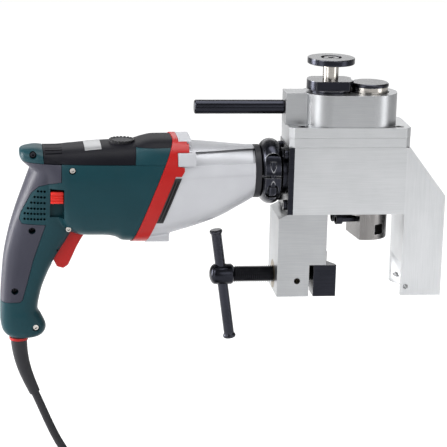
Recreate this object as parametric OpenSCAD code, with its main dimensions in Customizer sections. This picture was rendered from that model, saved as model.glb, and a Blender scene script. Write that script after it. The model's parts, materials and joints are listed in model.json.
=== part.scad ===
/* [Gear head] */
// Depth of the block, plates and legs, front to back
head_d = 55.5; // [52:0.5:62]
// Spindle axis to the block's left face
block_left = 74.6; // [72:0.2:84]
// Spindle axis to the block's right face
block_right = 33.6; // [32.6:0.2:40]
// Height of the gear block
block_h = 65; // [62:0.5:75]
// Thickness of the middle plate
middle_plate_t = 9.5; // [8:0.5:14]
// Thickness of the top plate
top_plate_t = 9.5; // [8:0.5:14]
// How far the plates stand out over the block's left face
plate_over_left = 5.3; // [4:0.1:9]
// How far the plates stand out over the block's right face
plate_over_right = 3.2; // [1:0.1:6]
// Chamfer on the plates' upright corners
plate_corner = 4.5; // [2:0.5:7]
// Clamping height, measured down from the block's underside
jaw_drop = 65.5; // [60:0.5:80]
// Diameter of the socket head screws
screw_d = 6; // [5:0.5:6.5]

/* [Legs and clamp] */
// Length of the legs below the block's underside
leg_h = 81; // [78:0.5:95]
// Width of the left leg at its top
left_leg_w = 47; // [44:0.5:52]
// Width of the left leg below its step
left_leg_low_w = 31; // [28:0.5:34]
// How far the left leg stands out past the block
left_leg_out = 13.2; // [10:0.2:16]
// Width of the right leg
right_leg_w = 39.2; // [36:0.2:48]
// Height of the right leg's sloping shoulder
right_leg_slope_h = 47; // [30:1:60]
// Depth of the V seats
vee_depth = 13; // [9:0.5:13.5]
// Angle of the V seats
vee_angle = 120; // [110:1:130]
// Thickness of the moving jaw along the screw
jaw_t = 22; // [21:0.5:26]
// Height of the moving jaw
jaw_h = 31; // [26:0.5:31]
// Open gap between the left leg's step and the jaw
jaw_gap = 4.3; // [4.2:0.1:7]
// Diameter of the clamp screw
clamp_screw_d = 16; // [14:0.5:18]
// Length of clamp screw seen between its head and the leg
clamp_screw_free = 38; // [36:1:50]
// Diameter of the clamp screw's head
clamp_head_d = 20; // [19:0.5:24]
// Length of the clamp screw's head
clamp_head_l = 24; // [22:0.5:30]
// Diameter of the tommy bar
bar_d = 10; // [8:0.2:10]
// Length of the tommy bar over its end caps
bar_l = 110; // [90:1:112]
// How far the bar's middle hangs below the screw's axis
bar_drop = 10; // [6:0.5:14]
// Lean of the tommy bar and of its cross hole
bar_lean = 8.5; // [0:0.5:12]

/* [Feed] */
// Feed axis to spindle axis
feed_offset = 38.25; // [38.25:0.05:38.4]
// Height of the feed housing
feed_house_h = 30.5; // [30:0.5:38]
// Radius of the feed housing's two lobes
lobe_r = 26.5; // [26.2:0.1:27.5]
// Wall over the feed gears
feed_roof = 5; // [4:0.5:5.5]
// Diameter of the feed knob
knob_d = 45; // [36:1:52]
// Thickness of the feed knob
knob_t = 6; // [5:0.5:9]
// Diameter of the feed shaft
post_d = 15; // [12:0.5:16]
// Length of bright post under the knob
post_h = 15; // [10:0.5:24]
// Diameter of the fixed collar
feed_collar_d = 45; // [42:0.5:46]
// Distance over the collar's wrench flats
feed_collar_flats = 32; // [30:0.5:36]
// Diameter of the feed sleeve's bright ring
sleeve_ring_d = 35.3; // [34:0.1:36]
// Height of bright ring seen above the housing
sleeve_show = 5.4; // [4:0.1:9]
// Diameter of the sleeve's cap
sleeve_cap_d = 36.4; // [35.6:0.1:36.4]
// Thickness of the sleeve's cap
sleeve_cap_t = 3.5; // [2.5:0.1:5]
// Feed travel of the spindle
feed_travel = 18; // [10:0.5:18]
// Diameter of the side handle
side_handle_d = 13.5; // [10:0.5:16]
// Length of the side handle
side_handle_l = 86; // [60:1:120]

/* [Cutter and bevel drive] */
// Diameter of the spindle
spindle_d = 20; // [18:0.5:21]
// Diameter of the cutter head
cutter_d = 44; // [40:0.5:50]
// Height of the cutter head
cutter_h = 26.6; // [22:0.2:32]
// Thickness of the cutter head's top flange
cutter_flange_t = 3; // [2:0.5:5]
// Side of the square tool pocket
tool_pocket = 10; // [8:0.5:12]
// Height of the drive axis above the block's underside
drive_h = 37; // [36.5:0.1:38]
// Module of the bevel gears
bevel_module = 1.75; // [1.6:0.05:1.8]

/* [Drive collar] */
// Thickness of the motor flange
flange_t = 5.3; // [4:0.1:8]
// Wall of the clamp collar round the drill neck
collar_wall = 9.9; // [9:0.1:12]
// Width of the clamp collar
collar_w = 20.8; // [18:0.2:24]
// Length of neck between flange and clamp collar
neck_l = 4; // [3:0.2:8]
// Diameter of the drill's clamping spigot
spigot_d = 43; // [42:0.1:44]
// Width of the rubber nose ring
nose_ring_w = 5.5; // [4:0.1:8]

/* [Drill] */
// Height of the motor axis below the drive axis
motor_drop = 18.5; // [17:0.5:19]
// Outer diameter of the stator
stator_d = 68; // [62:0.5:68]
// Bore of the stator
stator_bore = 43; // [42:0.5:48]
// Air gap between the armature core and the stator
air_gap = 0.6; // [0.4:0.1:1]
// Wall of the soft grip's skin
grip_t = 2.5; // [1.5:0.1:3]
// Width of the trigger
trigger_w = 16; // [12:0.5:18]
// Travel of the trigger
trigger_travel = 6; // [4:0.5:7]
// Diameter of the selector knob
selector_d = 24; // [20:0.5:25]
// Travel of the direction slider
slider_travel = 11; // [8:0.5:11]

/* [Cord] */
// Diameter of the cord
cord_d = 8; // [6:0.1:8.4]
// Large diameter of the bend sleeve
sleeve_d = 16.5; // [14:0.1:18]
// Height of the floor that the cord lies on
floor_z = -228; // [-245:1:-225]

/* [Hidden] */
$fn = 48;

// Clearances: running fit, parts that slide past each other, cast seats; and the overshoot of a cut
run = 0.05;
slide_gap = 0.3;
seat_gap = 0.15;
cut = 1;

// Colours
aluminium = "#c4c5c8";
bright_steel = "#d8d9dc";
black_steel = "#222326";
bronze = "#b08d4f";
dark_green = "#1f4a4e";
soft_grey = "#46444e";
signal_red = "#c8312c";
silver_cast = "#c9cad0";
black_rubber = "#26262a";
copper = "#b06a3c";

// Levels of the head, from the clamping height up
half_d = head_d / 2;
block_z0 = jaw_drop;
block_z1 = block_z0 + block_h;
middle_z1 = block_z1 + middle_plate_t;
plate_z1 = middle_z1 + top_plate_t;
house_z1 = plate_z1 + feed_house_h;
roof_z = house_z1 - feed_roof;
leg_z0 = block_z0 - leg_h;
drive_z = block_z0 + drive_h;
plate_x0 = -block_left - plate_over_left;
plate_x1 = block_right + plate_over_right;

// Socket head screws
head_r = screw_d * 0.8;
screw_r = screw_d / 2;
screw_inset = 8;
screw_l = 14;
plate_screw_grip = 4.5;
plate_screw_l = top_plate_t + middle_plate_t - screw_d + plate_screw_grip;

// Bevel gears, on one apex where the axes cross
bevel_pinion_n = 12;
bevel_gear_n = 24;
bevel_gear_r = bevel_module * bevel_gear_n / 2;
bevel_pinion_r = bevel_module * bevel_pinion_n / 2;
cone_out = sqrt(pow(bevel_gear_r, 2) + pow(bevel_pinion_r, 2));
cone_face = 7;
cone_in = cone_out - cone_face;
gear_cone = atan2(bevel_gear_r, bevel_pinion_r);
pinion_cone = 90 - gear_cone;
chamber_r = bevel_gear_r + bevel_module;
pressure = 20;
tooth_share = 0.9;

// Spindle stack in the block
spindle_r = spindle_d / 2;
bush_wall = 3.5;
bush_r = spindle_r + bush_wall;
bush_h = 12;
hub_r = spindle_r + 4;
gear_bearing_r = 19;
gear_bearing_h = 8.5;
gear_bearing_z = block_z0 + bush_h;
hub_z0 = gear_bearing_z + slide_gap;
gear_back_z = gear_bearing_z + gear_bearing_h + slide_gap;
key_w = 6;
key_h = 3;

// Pinion shaft
pinion_shaft_r = 7.5;
pinion_bearing_r = 14;
pinion_bearing_w = 9;
pinion_bearing_x = [-block_left + 2, -block_left + 30];
stub_r = 6.35;
stub_l = 14;

// Feed train
feed_module = 1.5;
feed_pinion_n = 23;
feed_nut_n = 28;
feed_gear_h = 8;
feed_gear_z = plate_z1 + 1;
nut_top_z = feed_gear_z + feed_gear_h;
sleeve_r = 15;
sleeve_z0 = plate_z1 - 1.6;
ring_z0 = nut_top_z + feed_travel + 0.4;
ring_z1 = house_z1 + sleeve_show;
sleeve_bore_r = 12;
sleeve_floor = 2;
journal_r = 7.5;
sleeve_bearing_h = 8;
sleeve_bearing_z = [sleeve_z0 + sleeve_floor + 1, sleeve_z0 + sleeve_floor + 14];
spindle_z1 = sleeve_bearing_z[1] + sleeve_bearing_h + 1;
post_r = post_d / 2;
feed_ring_h = 2.6;
feed_collar_h = 9;
feed_collar_z = house_z1 + feed_ring_h;
post_z0 = feed_collar_z + feed_collar_h;
knob_z0 = post_z0 + post_h;
shaft_z0 = plate_z1 - 5;
collar_spigot_r = 11;

// Clamp
screw_axis_x0 = -block_left - left_leg_out;
leg_step_x = screw_axis_x0 + left_leg_low_w;
jaw_x0 = leg_step_x + jaw_gap;
jaw_x1 = jaw_x0 + jaw_t;
jaw_z1 = jaw_h / 2;
clamp_r = clamp_screw_d / 2;
clamp_head_x1 = screw_axis_x0 - clamp_screw_free;
clamp_head_x0 = clamp_head_x1 - clamp_head_l;
cross_x = (clamp_head_x0 + clamp_head_x1) / 2;
neck_r = clamp_r - 3;
button_r = clamp_r + 1;
neck_len = 2.4;
button_len = 3.4;
bush_out_r = clamp_r + 5;
bush_flange_r = clamp_r + 6;
bush_flange_t = 4;

// Cutter head
cutter_r = cutter_d / 2;
cutter_z1 = block_z0 - 0.4;
cutter_z0 = cutter_z1 - cutter_h;
cutter_flat_x = -11;
cutter_flat_turn = 8.5;
cutter_screw_reach = 31;
cutter_screw_grip = 4;
nose_stub_r = 6.5;
nose_stub_l = 12;

// Drive collar and drill nose
flange_x0 = -block_left - flange_t;
collar_x1 = flange_x0 - neck_l;
collar_x0 = collar_x1 - collar_w;
spigot_r = spigot_d / 2;
spigot_x1 = collar_x1 - 2;
nose_x0 = collar_x0 - nose_ring_w;
nose_r = 25.5;
neck_tube_r = 22.5;

// Drill train: equal spur pairs, the intermediate axis beside the motor axis
motor_z = drive_z - motor_drop;
spur_module = 1;
small_n = 10;
large_n = 30;
spur_centres = spur_module * (small_n + large_n) / 2;
mid_z = drive_z - motor_drop / 2;
mid_y = sqrt(pow(spur_centres, 2) - pow(motor_drop / 2, 2));
spur_w = 10;
train_l = 74;
stage1_x = nose_x0 - train_l;
stage_step = 16;
stage2_x = stage1_x + stage_step;
shaft_r = 5;
mid_shaft_r = 3;
pinion_core_r = 2.6;
mid_shaft_over = 10;
wheel_room = 0.6;
side_room = 1;
output_r = 8;
bearing_w = 8;
armature_len = 46;
core_step = 76;
core_x0 = stage1_x - core_step;
fan_step = 6;
fan_x = core_x0 + armature_len + fan_step;
fan_w = 7;
fan_gap = 1.5;
fan_r = 31;
commutator_r = 14;
commutator_l = 22;
end_room = 2;
brush_w = 10;
brush_step = 8;
rear_bearing_step = 40;
rear_bearing_x = core_x0 - rear_bearing_step;
front_bearing_step = 12;
front_bearing_x = stage1_x - front_bearing_step;

// Slope of the red band, and the seam under the top cover
band_slope = 0.39;
band_x = -208;
band_w = 13.5;
band_level = 90;
vent_w = 6.5;
vent_z0 = 61;
vent_z1 = 104;
seam_z = 116;
proud = 0.8;
cover_x0 = -310.5;

// Outline of the drill body along X: place, underside, top, half width, squareness
body_stations = [
  [-332.6, 119, 124.5, 8, 2.2], [-331, 115.5, 126, 14, 2.4], [-326, 111, 127.3, 19, 2.6],
  [-318, 104, 128, 24, 2.8], [-309, 92, 127, 28, 3], [-298, 64, 127, 33, 3.2],
  [-286, 48, 127.8, 36.5, 3.4], [-272, 44.3, 129, 38, 3.4], [-252, 44, 130.6, 38.5, 3.4],
  [-243, 42.6, 131, 38.7, 3.4], [-236, 39, 131.2, 38.8, 3.4], [-226, 38.5, 132, 39, 3.4],
  [-216, 38.4, 135, 39.2, 3.4], [-206, 38.4, 136.9, 39.4, 3.4], [-168, 38.4, 137.2, 39.5, 3.4]];

// Outline of the handle by height: level, back, front, half width, squareness
handle_stations = [
  [-59.5, -338, -320, 9, 2.2], [-57.5, -344, -312, 13.5, 2.4], [-49, -349.5, -307, 16.5, 2.6],
  [-38, -351, -311.5, 17, 2.6], [-31, -351, -315, 16.5, 2.6], [-15, -350.6, -312.5, 16.5, 2.6],
  [4, -349.4, -306, 17, 2.6], [20, -348, -298, 17.5, 2.6], [44, -343.6, -284, 20, 2.6],
  [67, -337, -274, 24, 2.8], [88, -329.5, -268, 28, 2.8], [108, -322, -266, 30, 2.8],
  [119, -317, -268, 29, 3]];

// Outline of the gear case along X, as for the body
case_stations = [
  [-228, 40, 131.5, 39, 3.2], [-192, 45.5, 131.3, 39, 3.2], [-180, 48.6, 131, 38, 3.1],
  [-168, 51.8, 130.6, 36, 3], [-158, 54.8, 130.1, 33.8, 2.9], [-148, 58.2, 129.6, 31.5, 2.8],
  [-138, 62.4, 129, 29.4, 2.6], [-129, 67.1, 128.4, 27.5, 2.4], [-119, 72.4, 128, 26.1, 2.2],
  [nose_x0, 77.3, 127.7, 25.2, 2]];

// Side outline of the soft grip, front edge from the top down, then round the back
grip_outline = [
  [-294, seam_z], [-294, 99.5], [-305, 97], [-315, 94], [-321.5, 87.5], [-327, 76.5], [-331.5, 67],
  [-332.7, 61], [-330.4, 57], [-308, 56], [-312.6, 42], [-319.7, 19.7], [-325, -2], [-329.5, -19],
  [-332, -21.6], [-346, -22.5], [-358, -21], [-358, seam_z]];

// Trigger in its own frame: x out of the handle, y along the handle's front
trigger_at = [-284, 27];
trigger_turn = 30;
trigger_outline = [
  [-11, -15], [-3.5, -20], [2.7, -18.5], [5, -13.5], [4.2, -5], [3, 5], [2.6, 13], [2.8, 21], [-11, 21]];
trigger_pocket_x = -11 - trigger_travel - 1;

// Selector knob and direction slider
selector_x = -236;
selector_z0 = 125;
selector_z1 = 133.4;
slider_x0 = -304;
slider_x1 = -292;
slider_z0 = 78;
slider_z1 = 89.3;
slider_y0 = -28.6;
slider_y1 = -20;
slider_rim = 0.5;

// Screws that hold the shells together, on the near side: place, height, surface
shell_screws = [[-284, 110.5, -34.4], [-287, 52, -25.5], [-317, -47.5, -15], [-321, 50, -16],
  [-337, -10.5, -13]];
shell_screw_r = 3.4;
shell_screw_l = 8;

// Cord: sleeve, lead, coil and tail
cord_r = cord_d / 2;
sleeve_top = [-333, 0, -55.5];
sleeve_end = [-317.5, 0, -117];
sleeve_end_dir = [0.41, 0, -0.912];
lie_z = floor_z + cord_r + 1.5;
coil_pitch = cord_d + 1;
coil_turns = 3;
coil_layers = 4;
coil_in_r = 34.5;
coil_out_r = coil_in_r + coil_turns * coil_pitch;
coil_rings = 24;
coil_at = [-180, -coil_out_r];
coil_start = [coil_at[0] - cord_d, 0, lie_z];
coil_end = [coil_at[0] + cord_d, 0, lie_z + coil_pitch * (coil_layers - 1)];
tail_l = 72;
plug_r = 18.5;
plug_at = [coil_end[0] + tail_l, 0, floor_z + plug_r];
plug_grip_l = 24;
plug_l = 35;
pin_r = 2.4;
pin_l = 19;
pin_gap = 19;

// Plain solids placed by their limits
module box(x, y, z) {
  translate([x[0], y[0], z[0]])
    cube([x[1] - x[0], y[1] - y[0], z[1] - z[0]]);
}

module rod_x(r, x, y = 0, z = 0) {
  translate([x[0], y, z]) rotate([0, 90, 0]) cylinder(r = r, h = x[1] - x[0]);
}

module rod_y(r, y, x = 0, z = 0) {
  translate([x, y[0], z]) rotate([-90, 0, 0]) cylinder(r = r, h = y[1] - y[0]);
}

module rod_z(r, z, x = 0, y = 0) {
  translate([x, y, z[0]]) cylinder(r = r, h = z[1] - z[0]);
}

module ring_x(r_out, r_in, x, y = 0, z = 0) {
  difference() {
    rod_x(r_out, x, y, z);
    rod_x(r_in, [x[0] - cut, x[1] + cut], y, z);
  }
}

module ring_z(r_out, r_in, z, x = 0, y = 0) {
  difference() {
    rod_z(r_out, z, x, y);
    rod_z(r_in, [z[0] - cut, z[1] + cut], x, y);
  }
}

// Socket head screw with its head's top at the origin and its shank along -Z
module socket_screw(l = screw_l) {
  difference() {
    union() {
      rod_z(head_r, [-screw_d, 0]);
      rod_z(screw_r, [-screw_d - l, -screw_d]);
    }
    translate([0, 0, -screw_d / 2]) cylinder(d = screw_d * 0.9, h = screw_d, $fn = 6);
  }
}

// Counterbored hole for that screw, open above the head
module screw_seat(l = screw_l) {
  rod_z(head_r + slide_gap, [-screw_d, cut]);
  rod_z(screw_r, [-screw_d - l - slide_gap, -screw_d + cut]);
}

// Involute tooth: half angle at radius r of a wheel with pitch radius rp and n teeth
function involute(a) = tan(a) * 180 / PI - a;
function half_tooth(r, rp, n) = let(rb = rp * cos(pressure), a = acos(min(1, rb / max(r, rb))))
  90 * tooth_share / n + involute(pressure) - involute(a);
tooth_steps = [-1.2, -0.5, 0, 0.45, 0.85];

function spur_points(n, m) = let(rp = n * m / 2, k = len(tooth_steps))
  [for (t = [0 : n - 1], i = [0 : 2 * k - 1])
    let(j = i < k ? i : 2 * k - 1 - i, r = rp + m * tooth_steps[j], h = half_tooth(r, rp, n),
      a = t * 360 / n + (i < k ? -h : h)) [r * cos(a), r * sin(a)]];

// Ring of a straight bevel wheel's teeth at distance l from the apex, axis along -Z
function bevel_ring(n, m, cone, l, phase) =
  let(rp = cone_out * tan(cone), ne = n / cos(cone), k = len(tooth_steps))
  [for (t = [0 : n - 1], i = [0 : 2 * k - 1])
    let(j = i < k ? i : 2 * k - 1 - i, r = rp + m * tooth_steps[j],
      g = cone + atan2(m * tooth_steps[j], cone_out),
      h = half_tooth(r, rp, ne) * r / (cone_out * sin(g)),
      a = phase + t * 360 / n + (i < k ? -h : h)) l * [sin(g) * cos(a), sin(g) * sin(a), -cos(g)]];

// Solid through rings of points, closed by a point on the axis or a flat face at each end
module skin(rings, ends = []) {
  n = len(rings[0]);
  m = len(rings);
  points = concat([for (r = rings) each r], ends);
  sides = [for (i = [0 : m - 2], j = [0 : n - 1]) let(a = i * n + j, b = i * n + (j + 1) % n)
    each [[a, b + n, b], [a, a + n, b + n]]];
  first = len(ends) == 0 ? [[for (j = [0 : n - 1]) j]]
    : [for (j = [0 : n - 1]) [j, (j + 1) % n, m * n]];
  last = len(ends) == 0 ? [[for (j = [n - 1 : -1 : 0]) (m - 1) * n + j]]
    : [for (j = [0 : n - 1]) [(m - 1) * n + (j + 1) % n, (m - 1) * n + j, m * n + 1]];
  polyhedron(points, concat(first, sides, last));
}

module bevel_teeth(n, cone, phase, back) {
  ring_out = bevel_ring(n, bevel_module, cone, cone_out, phase);
  ring_in = bevel_ring(n, bevel_module, cone, cone_in, phase);
  skin([ring_out, ring_in], [[0, 0, -back], [0, 0, -cone_in * cos(cone + 5)]]);
}

// Rounded section points: a superellipse with half sizes a, b and squareness p
function rounded(a, b, p, n) = [for (i = [0 : n - 1])
  let(c = cos(360 * (i + 0.5) / n), s = sin(360 * (i + 0.5) / n))
  [a * sign(c) * pow(abs(c), 2 / p), b * sign(s) * pow(abs(s), 2 / p)]];
section_n = 24;
function x_rings(stations, grow) = [for (s = stations)
  [for (q = rounded(s[3] + grow, (s[2] - s[1]) / 2 + grow, s[4], section_n))
    [s[0], q[0], (s[1] + s[2]) / 2 + q[1]]]];
function z_rings(stations, grow) = [for (s = stations)
  [for (q = rounded((s[2] - s[1]) / 2 + grow, s[3] + grow, s[4], section_n))
    [(s[1] + s[2]) / 2 + q[0], q[1], s[0]]]];

// Loft: one convex slab between each ring and the next
module loft(rings) {
  for (i = [0 : len(rings) - 2]) hull() skin([rings[i], rings[i + 1]]);
}

module body_form(grow = 0) {
  loft(x_rings(body_stations, grow));
}

module handle_form(grow = 0) {
  loft(z_rings(handle_stations, grow));
}

module case_form(grow = 0) {
  loft(x_rings(case_stations, grow));
}

// Everything to the left (side -1) or right (side 1) of a sloping plane through x at band_level
module beyond_slope(x, side) {
  reach = 400;
  multmatrix([[1, 0, band_slope, x - band_slope * band_level], [0, 1, 0, 0], [0, 0, 1, 0], [0, 0, 0, 1]])
    translate([side > 0 ? 0 : -reach, -reach / 2, -reach / 2])
      cube(reach);
}

// Gear head

module gear_block() {
  color(aluminium) difference() {
    box([-block_left, block_right], [-half_d, half_d], [block_z0, block_z1]);
    rod_z(bush_r, [block_z0 - cut, gear_bearing_z + cut]);
    rod_z(gear_bearing_r, [gear_bearing_z, gear_bearing_z + gear_bearing_h + cut]);
    rod_z(chamber_r, [gear_bearing_z + gear_bearing_h, block_z1 + cut]);
    rod_x(pinion_bearing_r, [-block_left - cut, 0], 0, drive_z);
    for (y = [-1, 1], x = plate_screw_x()) translate([x, y * (half_d - screw_inset), block_z1])
      rod_z(screw_r, [-plate_screw_grip - slide_gap, cut]);
    for (y = [-1, 1], z = flange_screw_z()) translate([-block_left, y * (half_d - screw_inset), z])
      rod_x(screw_r, [-cut, screw_l + slide_gap]);
    for (y = [-1, 1], z = right_leg_screw_z()) translate([block_right, y * (half_d - screw_inset), z])
      rod_x(screw_r, [-screw_l, cut]);
    for (y = [-1, 1]) translate([left_leg_screw_x(), y * (half_d - screw_inset), block_z0])
      rod_z(screw_r, [-cut, screw_l]);
  }
}

function plate_screw_x() = [-block_left + screw_inset, block_right - screw_inset];
function flange_screw_z() = [block_z0 + screw_inset, block_z1 - screw_inset];
function right_leg_screw_z() = [block_z0 + 10, block_z0 + 26];
function left_leg_screw_x() = (leg_step_x + screw_axis_x0 + left_leg_w) / 2;

module plate(z0, z1) {
  translate([0, 0, z0]) linear_extrude(z1 - z0) polygon([
    [plate_x0 + plate_corner, -half_d], [plate_x1 - plate_corner, -half_d],
    [plate_x1, -half_d + plate_corner], [plate_x1, half_d - plate_corner],
    [plate_x1 - plate_corner, half_d], [plate_x0 + plate_corner, half_d],
    [plate_x0, half_d - plate_corner], [plate_x0, -half_d + plate_corner]]);
}

module middle_plate() {
  color(aluminium) difference() {
    plate(block_z1, middle_z1);
    rod_z(sleeve_r + slide_gap, [block_z1 - cut, middle_z1 + cut]);
    for (y = [-1, 1], x = plate_screw_x())
      rod_z(screw_r, [block_z1 - cut, middle_z1 + cut], x, y * (half_d - screw_inset));
  }
}

module top_plate() {
  color(aluminium) difference() {
    plate(middle_z1, plate_z1);
    rod_z(sleeve_r + run, [middle_z1 - cut, plate_z1 + cut]);
    rod_z(post_r + run, [shaft_z0 - slide_gap, plate_z1 + cut], -feed_offset);
    for (y = [-1, 1], x = plate_screw_x()) translate([x, y * (half_d - screw_inset), plate_z1])
      screw_seat(plate_screw_l);
  }
}

// An oval over both feed shafts, and a narrower boss for the side handle
boss_x0 = plate_x0 - 2.1;
boss_w = 11.5;
module feed_house_plan() {
  circle(lobe_r);
  translate([-feed_offset, 0]) circle(lobe_r);
  translate([-feed_offset, -lobe_r]) square([feed_offset, 2 * lobe_r]);
  translate([boss_x0, -boss_w]) square([-feed_offset - boss_x0, 2 * boss_w]);
}

feed_chamber_r = feed_module * (feed_nut_n / 2 + 1) + 0.7;
feed_pinion_room_r = feed_module * (feed_pinion_n / 2 + 1) + 0.8;
side_handle_z = (plate_z1 + house_z1) / 2;
handle_stud_r = 4;
handle_stud_l = 12;

module feed_housing() {
  color(aluminium) difference() {
    translate([0, 0, plate_z1]) linear_extrude(feed_house_h) feed_house_plan();
    rod_z(feed_chamber_r, [plate_z1 - cut, roof_z]);
    rod_z(feed_pinion_room_r, [plate_z1 - cut, roof_z], -feed_offset);
    rod_z(sleeve_cap_d / 2 + slide_gap, [roof_z - cut, house_z1 + cut]);
    rod_z(collar_spigot_r, [roof_z - cut, house_z1 + cut], -feed_offset);
    rod_x(handle_stud_r, [boss_x0 - cut, boss_x0 + handle_stud_l], 0, side_handle_z);
  }
}

module left_leg() {
  shoulder = 4.1;
  color(aluminium) difference() {
    translate([0, half_d, 0]) rotate([90, 0, 0]) linear_extrude(head_d) polygon([
      [screw_axis_x0, leg_z0], [leg_step_x, leg_z0], [leg_step_x, jaw_z1 + slide_gap],
      [screw_axis_x0 + left_leg_w, jaw_z1 + slide_gap], [screw_axis_x0 + left_leg_w, block_z0],
      [screw_axis_x0 + 2 * shoulder, block_z0], [screw_axis_x0, block_z0 - shoulder]]);
    rod_x(bush_out_r, [screw_axis_x0 - cut, leg_step_x + cut]);
    rod_x(bush_flange_r, [screw_axis_x0 - cut, screw_axis_x0 + bush_flange_t]);
    rod_y(screw_r, [-half_d - cut, -bush_out_r + cut], (screw_axis_x0 + leg_step_x) / 2 + 4);
    for (y = [-1, 1]) translate([left_leg_screw_x(), y * (half_d - screw_inset), leg_screw_z()])
      mirror([0, 0, 1]) screw_seat(leg_screw_l());
    for (y = [-1, 1]) rod_z(head_r + slide_gap, [jaw_z1 - cut, leg_screw_z() + cut],
      left_leg_screw_x(), y * (half_d - screw_inset));
  }
}

// The left leg's screws go up into the block from the step's underside
function leg_screw_z() = jaw_z1 + slide_gap + 20;
function leg_screw_l() = block_z0 - leg_screw_z() - screw_d + 10;

module vee_cut(x, side, z0, z1) {
  half = vee_depth * tan(vee_angle / 2);
  translate([x, 0, z0]) linear_extrude(z1 - z0) polygon([
    [side * vee_depth, 0], [0, half], [-side * cut, half], [-side * cut, -half], [0, -half]]);
}

module right_leg() {
  slope_w = right_leg_w - plate_over_right;
  color(aluminium) difference() {
    translate([0, half_d, 0]) rotate([90, 0, 0]) linear_extrude(head_d) polygon([
      [block_right, leg_z0], [block_right + right_leg_w, leg_z0],
      [block_right + right_leg_w, block_z1 - right_leg_slope_h],
      [block_right + right_leg_w - slope_w, block_z1], [block_right, block_z1]]);
    vee_cut(block_right, 1, leg_z0 - cut, jaw_z1 + slide_gap);
    rod_y(pin_hole_r, [-half_d - cut, half_d + cut], block_right + pin_hole_x, leg_z0 + pin_hole_z);
    for (y = [-1, 1], z = right_leg_screw_z()) {
      rod_x(head_r + slide_gap, [block_right + right_leg_seat(), block_right + right_leg_w + cut],
        y * (half_d - screw_inset), z);
      rod_x(screw_r, [block_right - cut, block_right + right_leg_seat() + cut], y * (half_d - screw_inset), z);
    }
  }
}

// Counterbore depth from the block, and the cross hole at the leg's foot
function right_leg_seat() = 16;
pin_hole_r = 2.5;
pin_hole_x = 4.5;
pin_hole_z = 9;

module socket_screws() {
  color(black_steel) {
    for (y = [-1, 1], x = plate_screw_x()) translate([x, y * (half_d - screw_inset), plate_z1])
      socket_screw(plate_screw_l);
    for (y = [-1, 1], z = flange_screw_z())
      translate([flange_x0 - flange_head_out, y * (half_d - screw_inset), z])
        rotate([0, -90, 0]) socket_screw();
    for (y = [-1, 1], z = right_leg_screw_z())
      translate([block_right + right_leg_seat() + screw_d, y * (half_d - screw_inset), z])
        rotate([0, 90, 0]) socket_screw(right_leg_seat() + 10);
    for (y = [-1, 1])
      translate([left_leg_screw_x(), y * (half_d - screw_inset), leg_screw_z()])
        mirror([0, 0, 1]) socket_screw(leg_screw_l());
  }
}

// The flange's screw heads are let into it far enough to clear the collar
flange_head_out = min(neck_l - 2 * slide_gap, screw_d);
module motor_flange() {
  color(black_steel) difference() {
    union() {
      box([flange_x0, -block_left], [-half_d, half_d], [block_z0, block_z1]);
      rod_x(neck_tube_r, [collar_x1, flange_x0 + cut], 0, drive_z);
    }
    rod_x(pinion_bearing_r - 2, [collar_x1 - cut, -block_left + cut], 0, drive_z);
    for (y = [-1, 1], z = flange_screw_z())
      translate([flange_x0 - flange_head_out, y * (half_d - screw_inset), z]) rotate([0, -90, 0]) screw_seat();
  }
}

// Split collar: oval recess round the split, and a screw from below across it
collar_recess_r = 8;
collar_recess_h = 28;
collar_slot = 2.4;
collar_seat = 10;
collar_thread = 14;
collar_mid_x = (collar_x0 + collar_x1) / 2;
collar_d = spigot_d + 2 * collar_wall;
collar_screw_gap = 0.5;
collar_skin = 0.4;
collar_recess_t = collar_wall - collar_screw_gap - 2 * screw_r - collar_skin;
collar_screw_y = -spigot_r - collar_screw_gap - screw_r;
module clamp_collar() {
  bow = collar_w / 2;
  color(black_steel) difference() {
    translate([collar_mid_x, 0, drive_z]) rotate([0, 90, 0]) rotate_extrude() polygon(concat(
      [[spigot_r + run, bow], [spigot_r + run, -bow], [spigot_r + 1.5, -bow]],
      [for (a = [-75 : 15 : 75]) [collar_d / 2 - bow + cos(a) * bow, sin(a) * bow]], [[spigot_r + 1.5, bow]]));
    difference() {
      union() {
        for (s = [-1, 1])
          rod_y(collar_recess_r, [-collar_d, -cut], collar_mid_x, drive_z + s * collar_recess_h / 2);
        box([collar_mid_x - collar_recess_r, collar_mid_x + collar_recess_r], [-collar_d, -cut],
          [drive_z - collar_recess_h / 2, drive_z + collar_recess_h / 2]);
      }
      rod_x(collar_d / 2 - collar_recess_t, [collar_x0 - cut, collar_x1 + cut], 0, drive_z);
    }
    box([collar_x0 - cut, collar_x1 + cut], [-collar_d, 0],
      [drive_z - collar_slot / 2, drive_z + collar_slot / 2]);
    rod_z(head_r + slide_gap, [drive_z - collar_d, drive_z - collar_seat], collar_mid_x, collar_screw_y);
    rod_z(screw_r, [drive_z - collar_seat - cut, drive_z + collar_thread + slide_gap],
      collar_mid_x, collar_screw_y);
  }
}

module collar_screw() {
  color(black_steel) translate([collar_mid_x, collar_screw_y, drive_z - collar_seat - screw_d])
    mirror([0, 0, 1]) socket_screw(collar_seat + collar_thread);
}

module side_handle() {
  edge = 1;
  color(black_steel) {
    translate([boss_x0 - side_handle_l, 0, side_handle_z]) rotate([0, 90, 0]) rotate_extrude() polygon([
      [0, 0], [side_handle_d / 2 - edge, 0], [side_handle_d / 2, edge],
      [side_handle_d / 2, side_handle_l - edge], [side_handle_d / 2 - edge, side_handle_l],
      [handle_stud_r, side_handle_l],
      [handle_stud_r, side_handle_l + handle_stud_l], [0, side_handle_l + handle_stud_l]]);
  }
}

module screw_bush() {
  color(bronze) difference() {
    union() {
      rod_x(bush_out_r, [screw_axis_x0, leg_step_x]);
      rod_x(bush_flange_r, [screw_axis_x0, screw_axis_x0 + bush_flange_t]);
    }
    rod_x(clamp_r + run, [screw_axis_x0 - cut, leg_step_x + cut]);
  }
}

module spindle_bush() {
  color(bronze) ring_z(bush_r, spindle_r + run, [block_z0, gear_bearing_z]);
}

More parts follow.
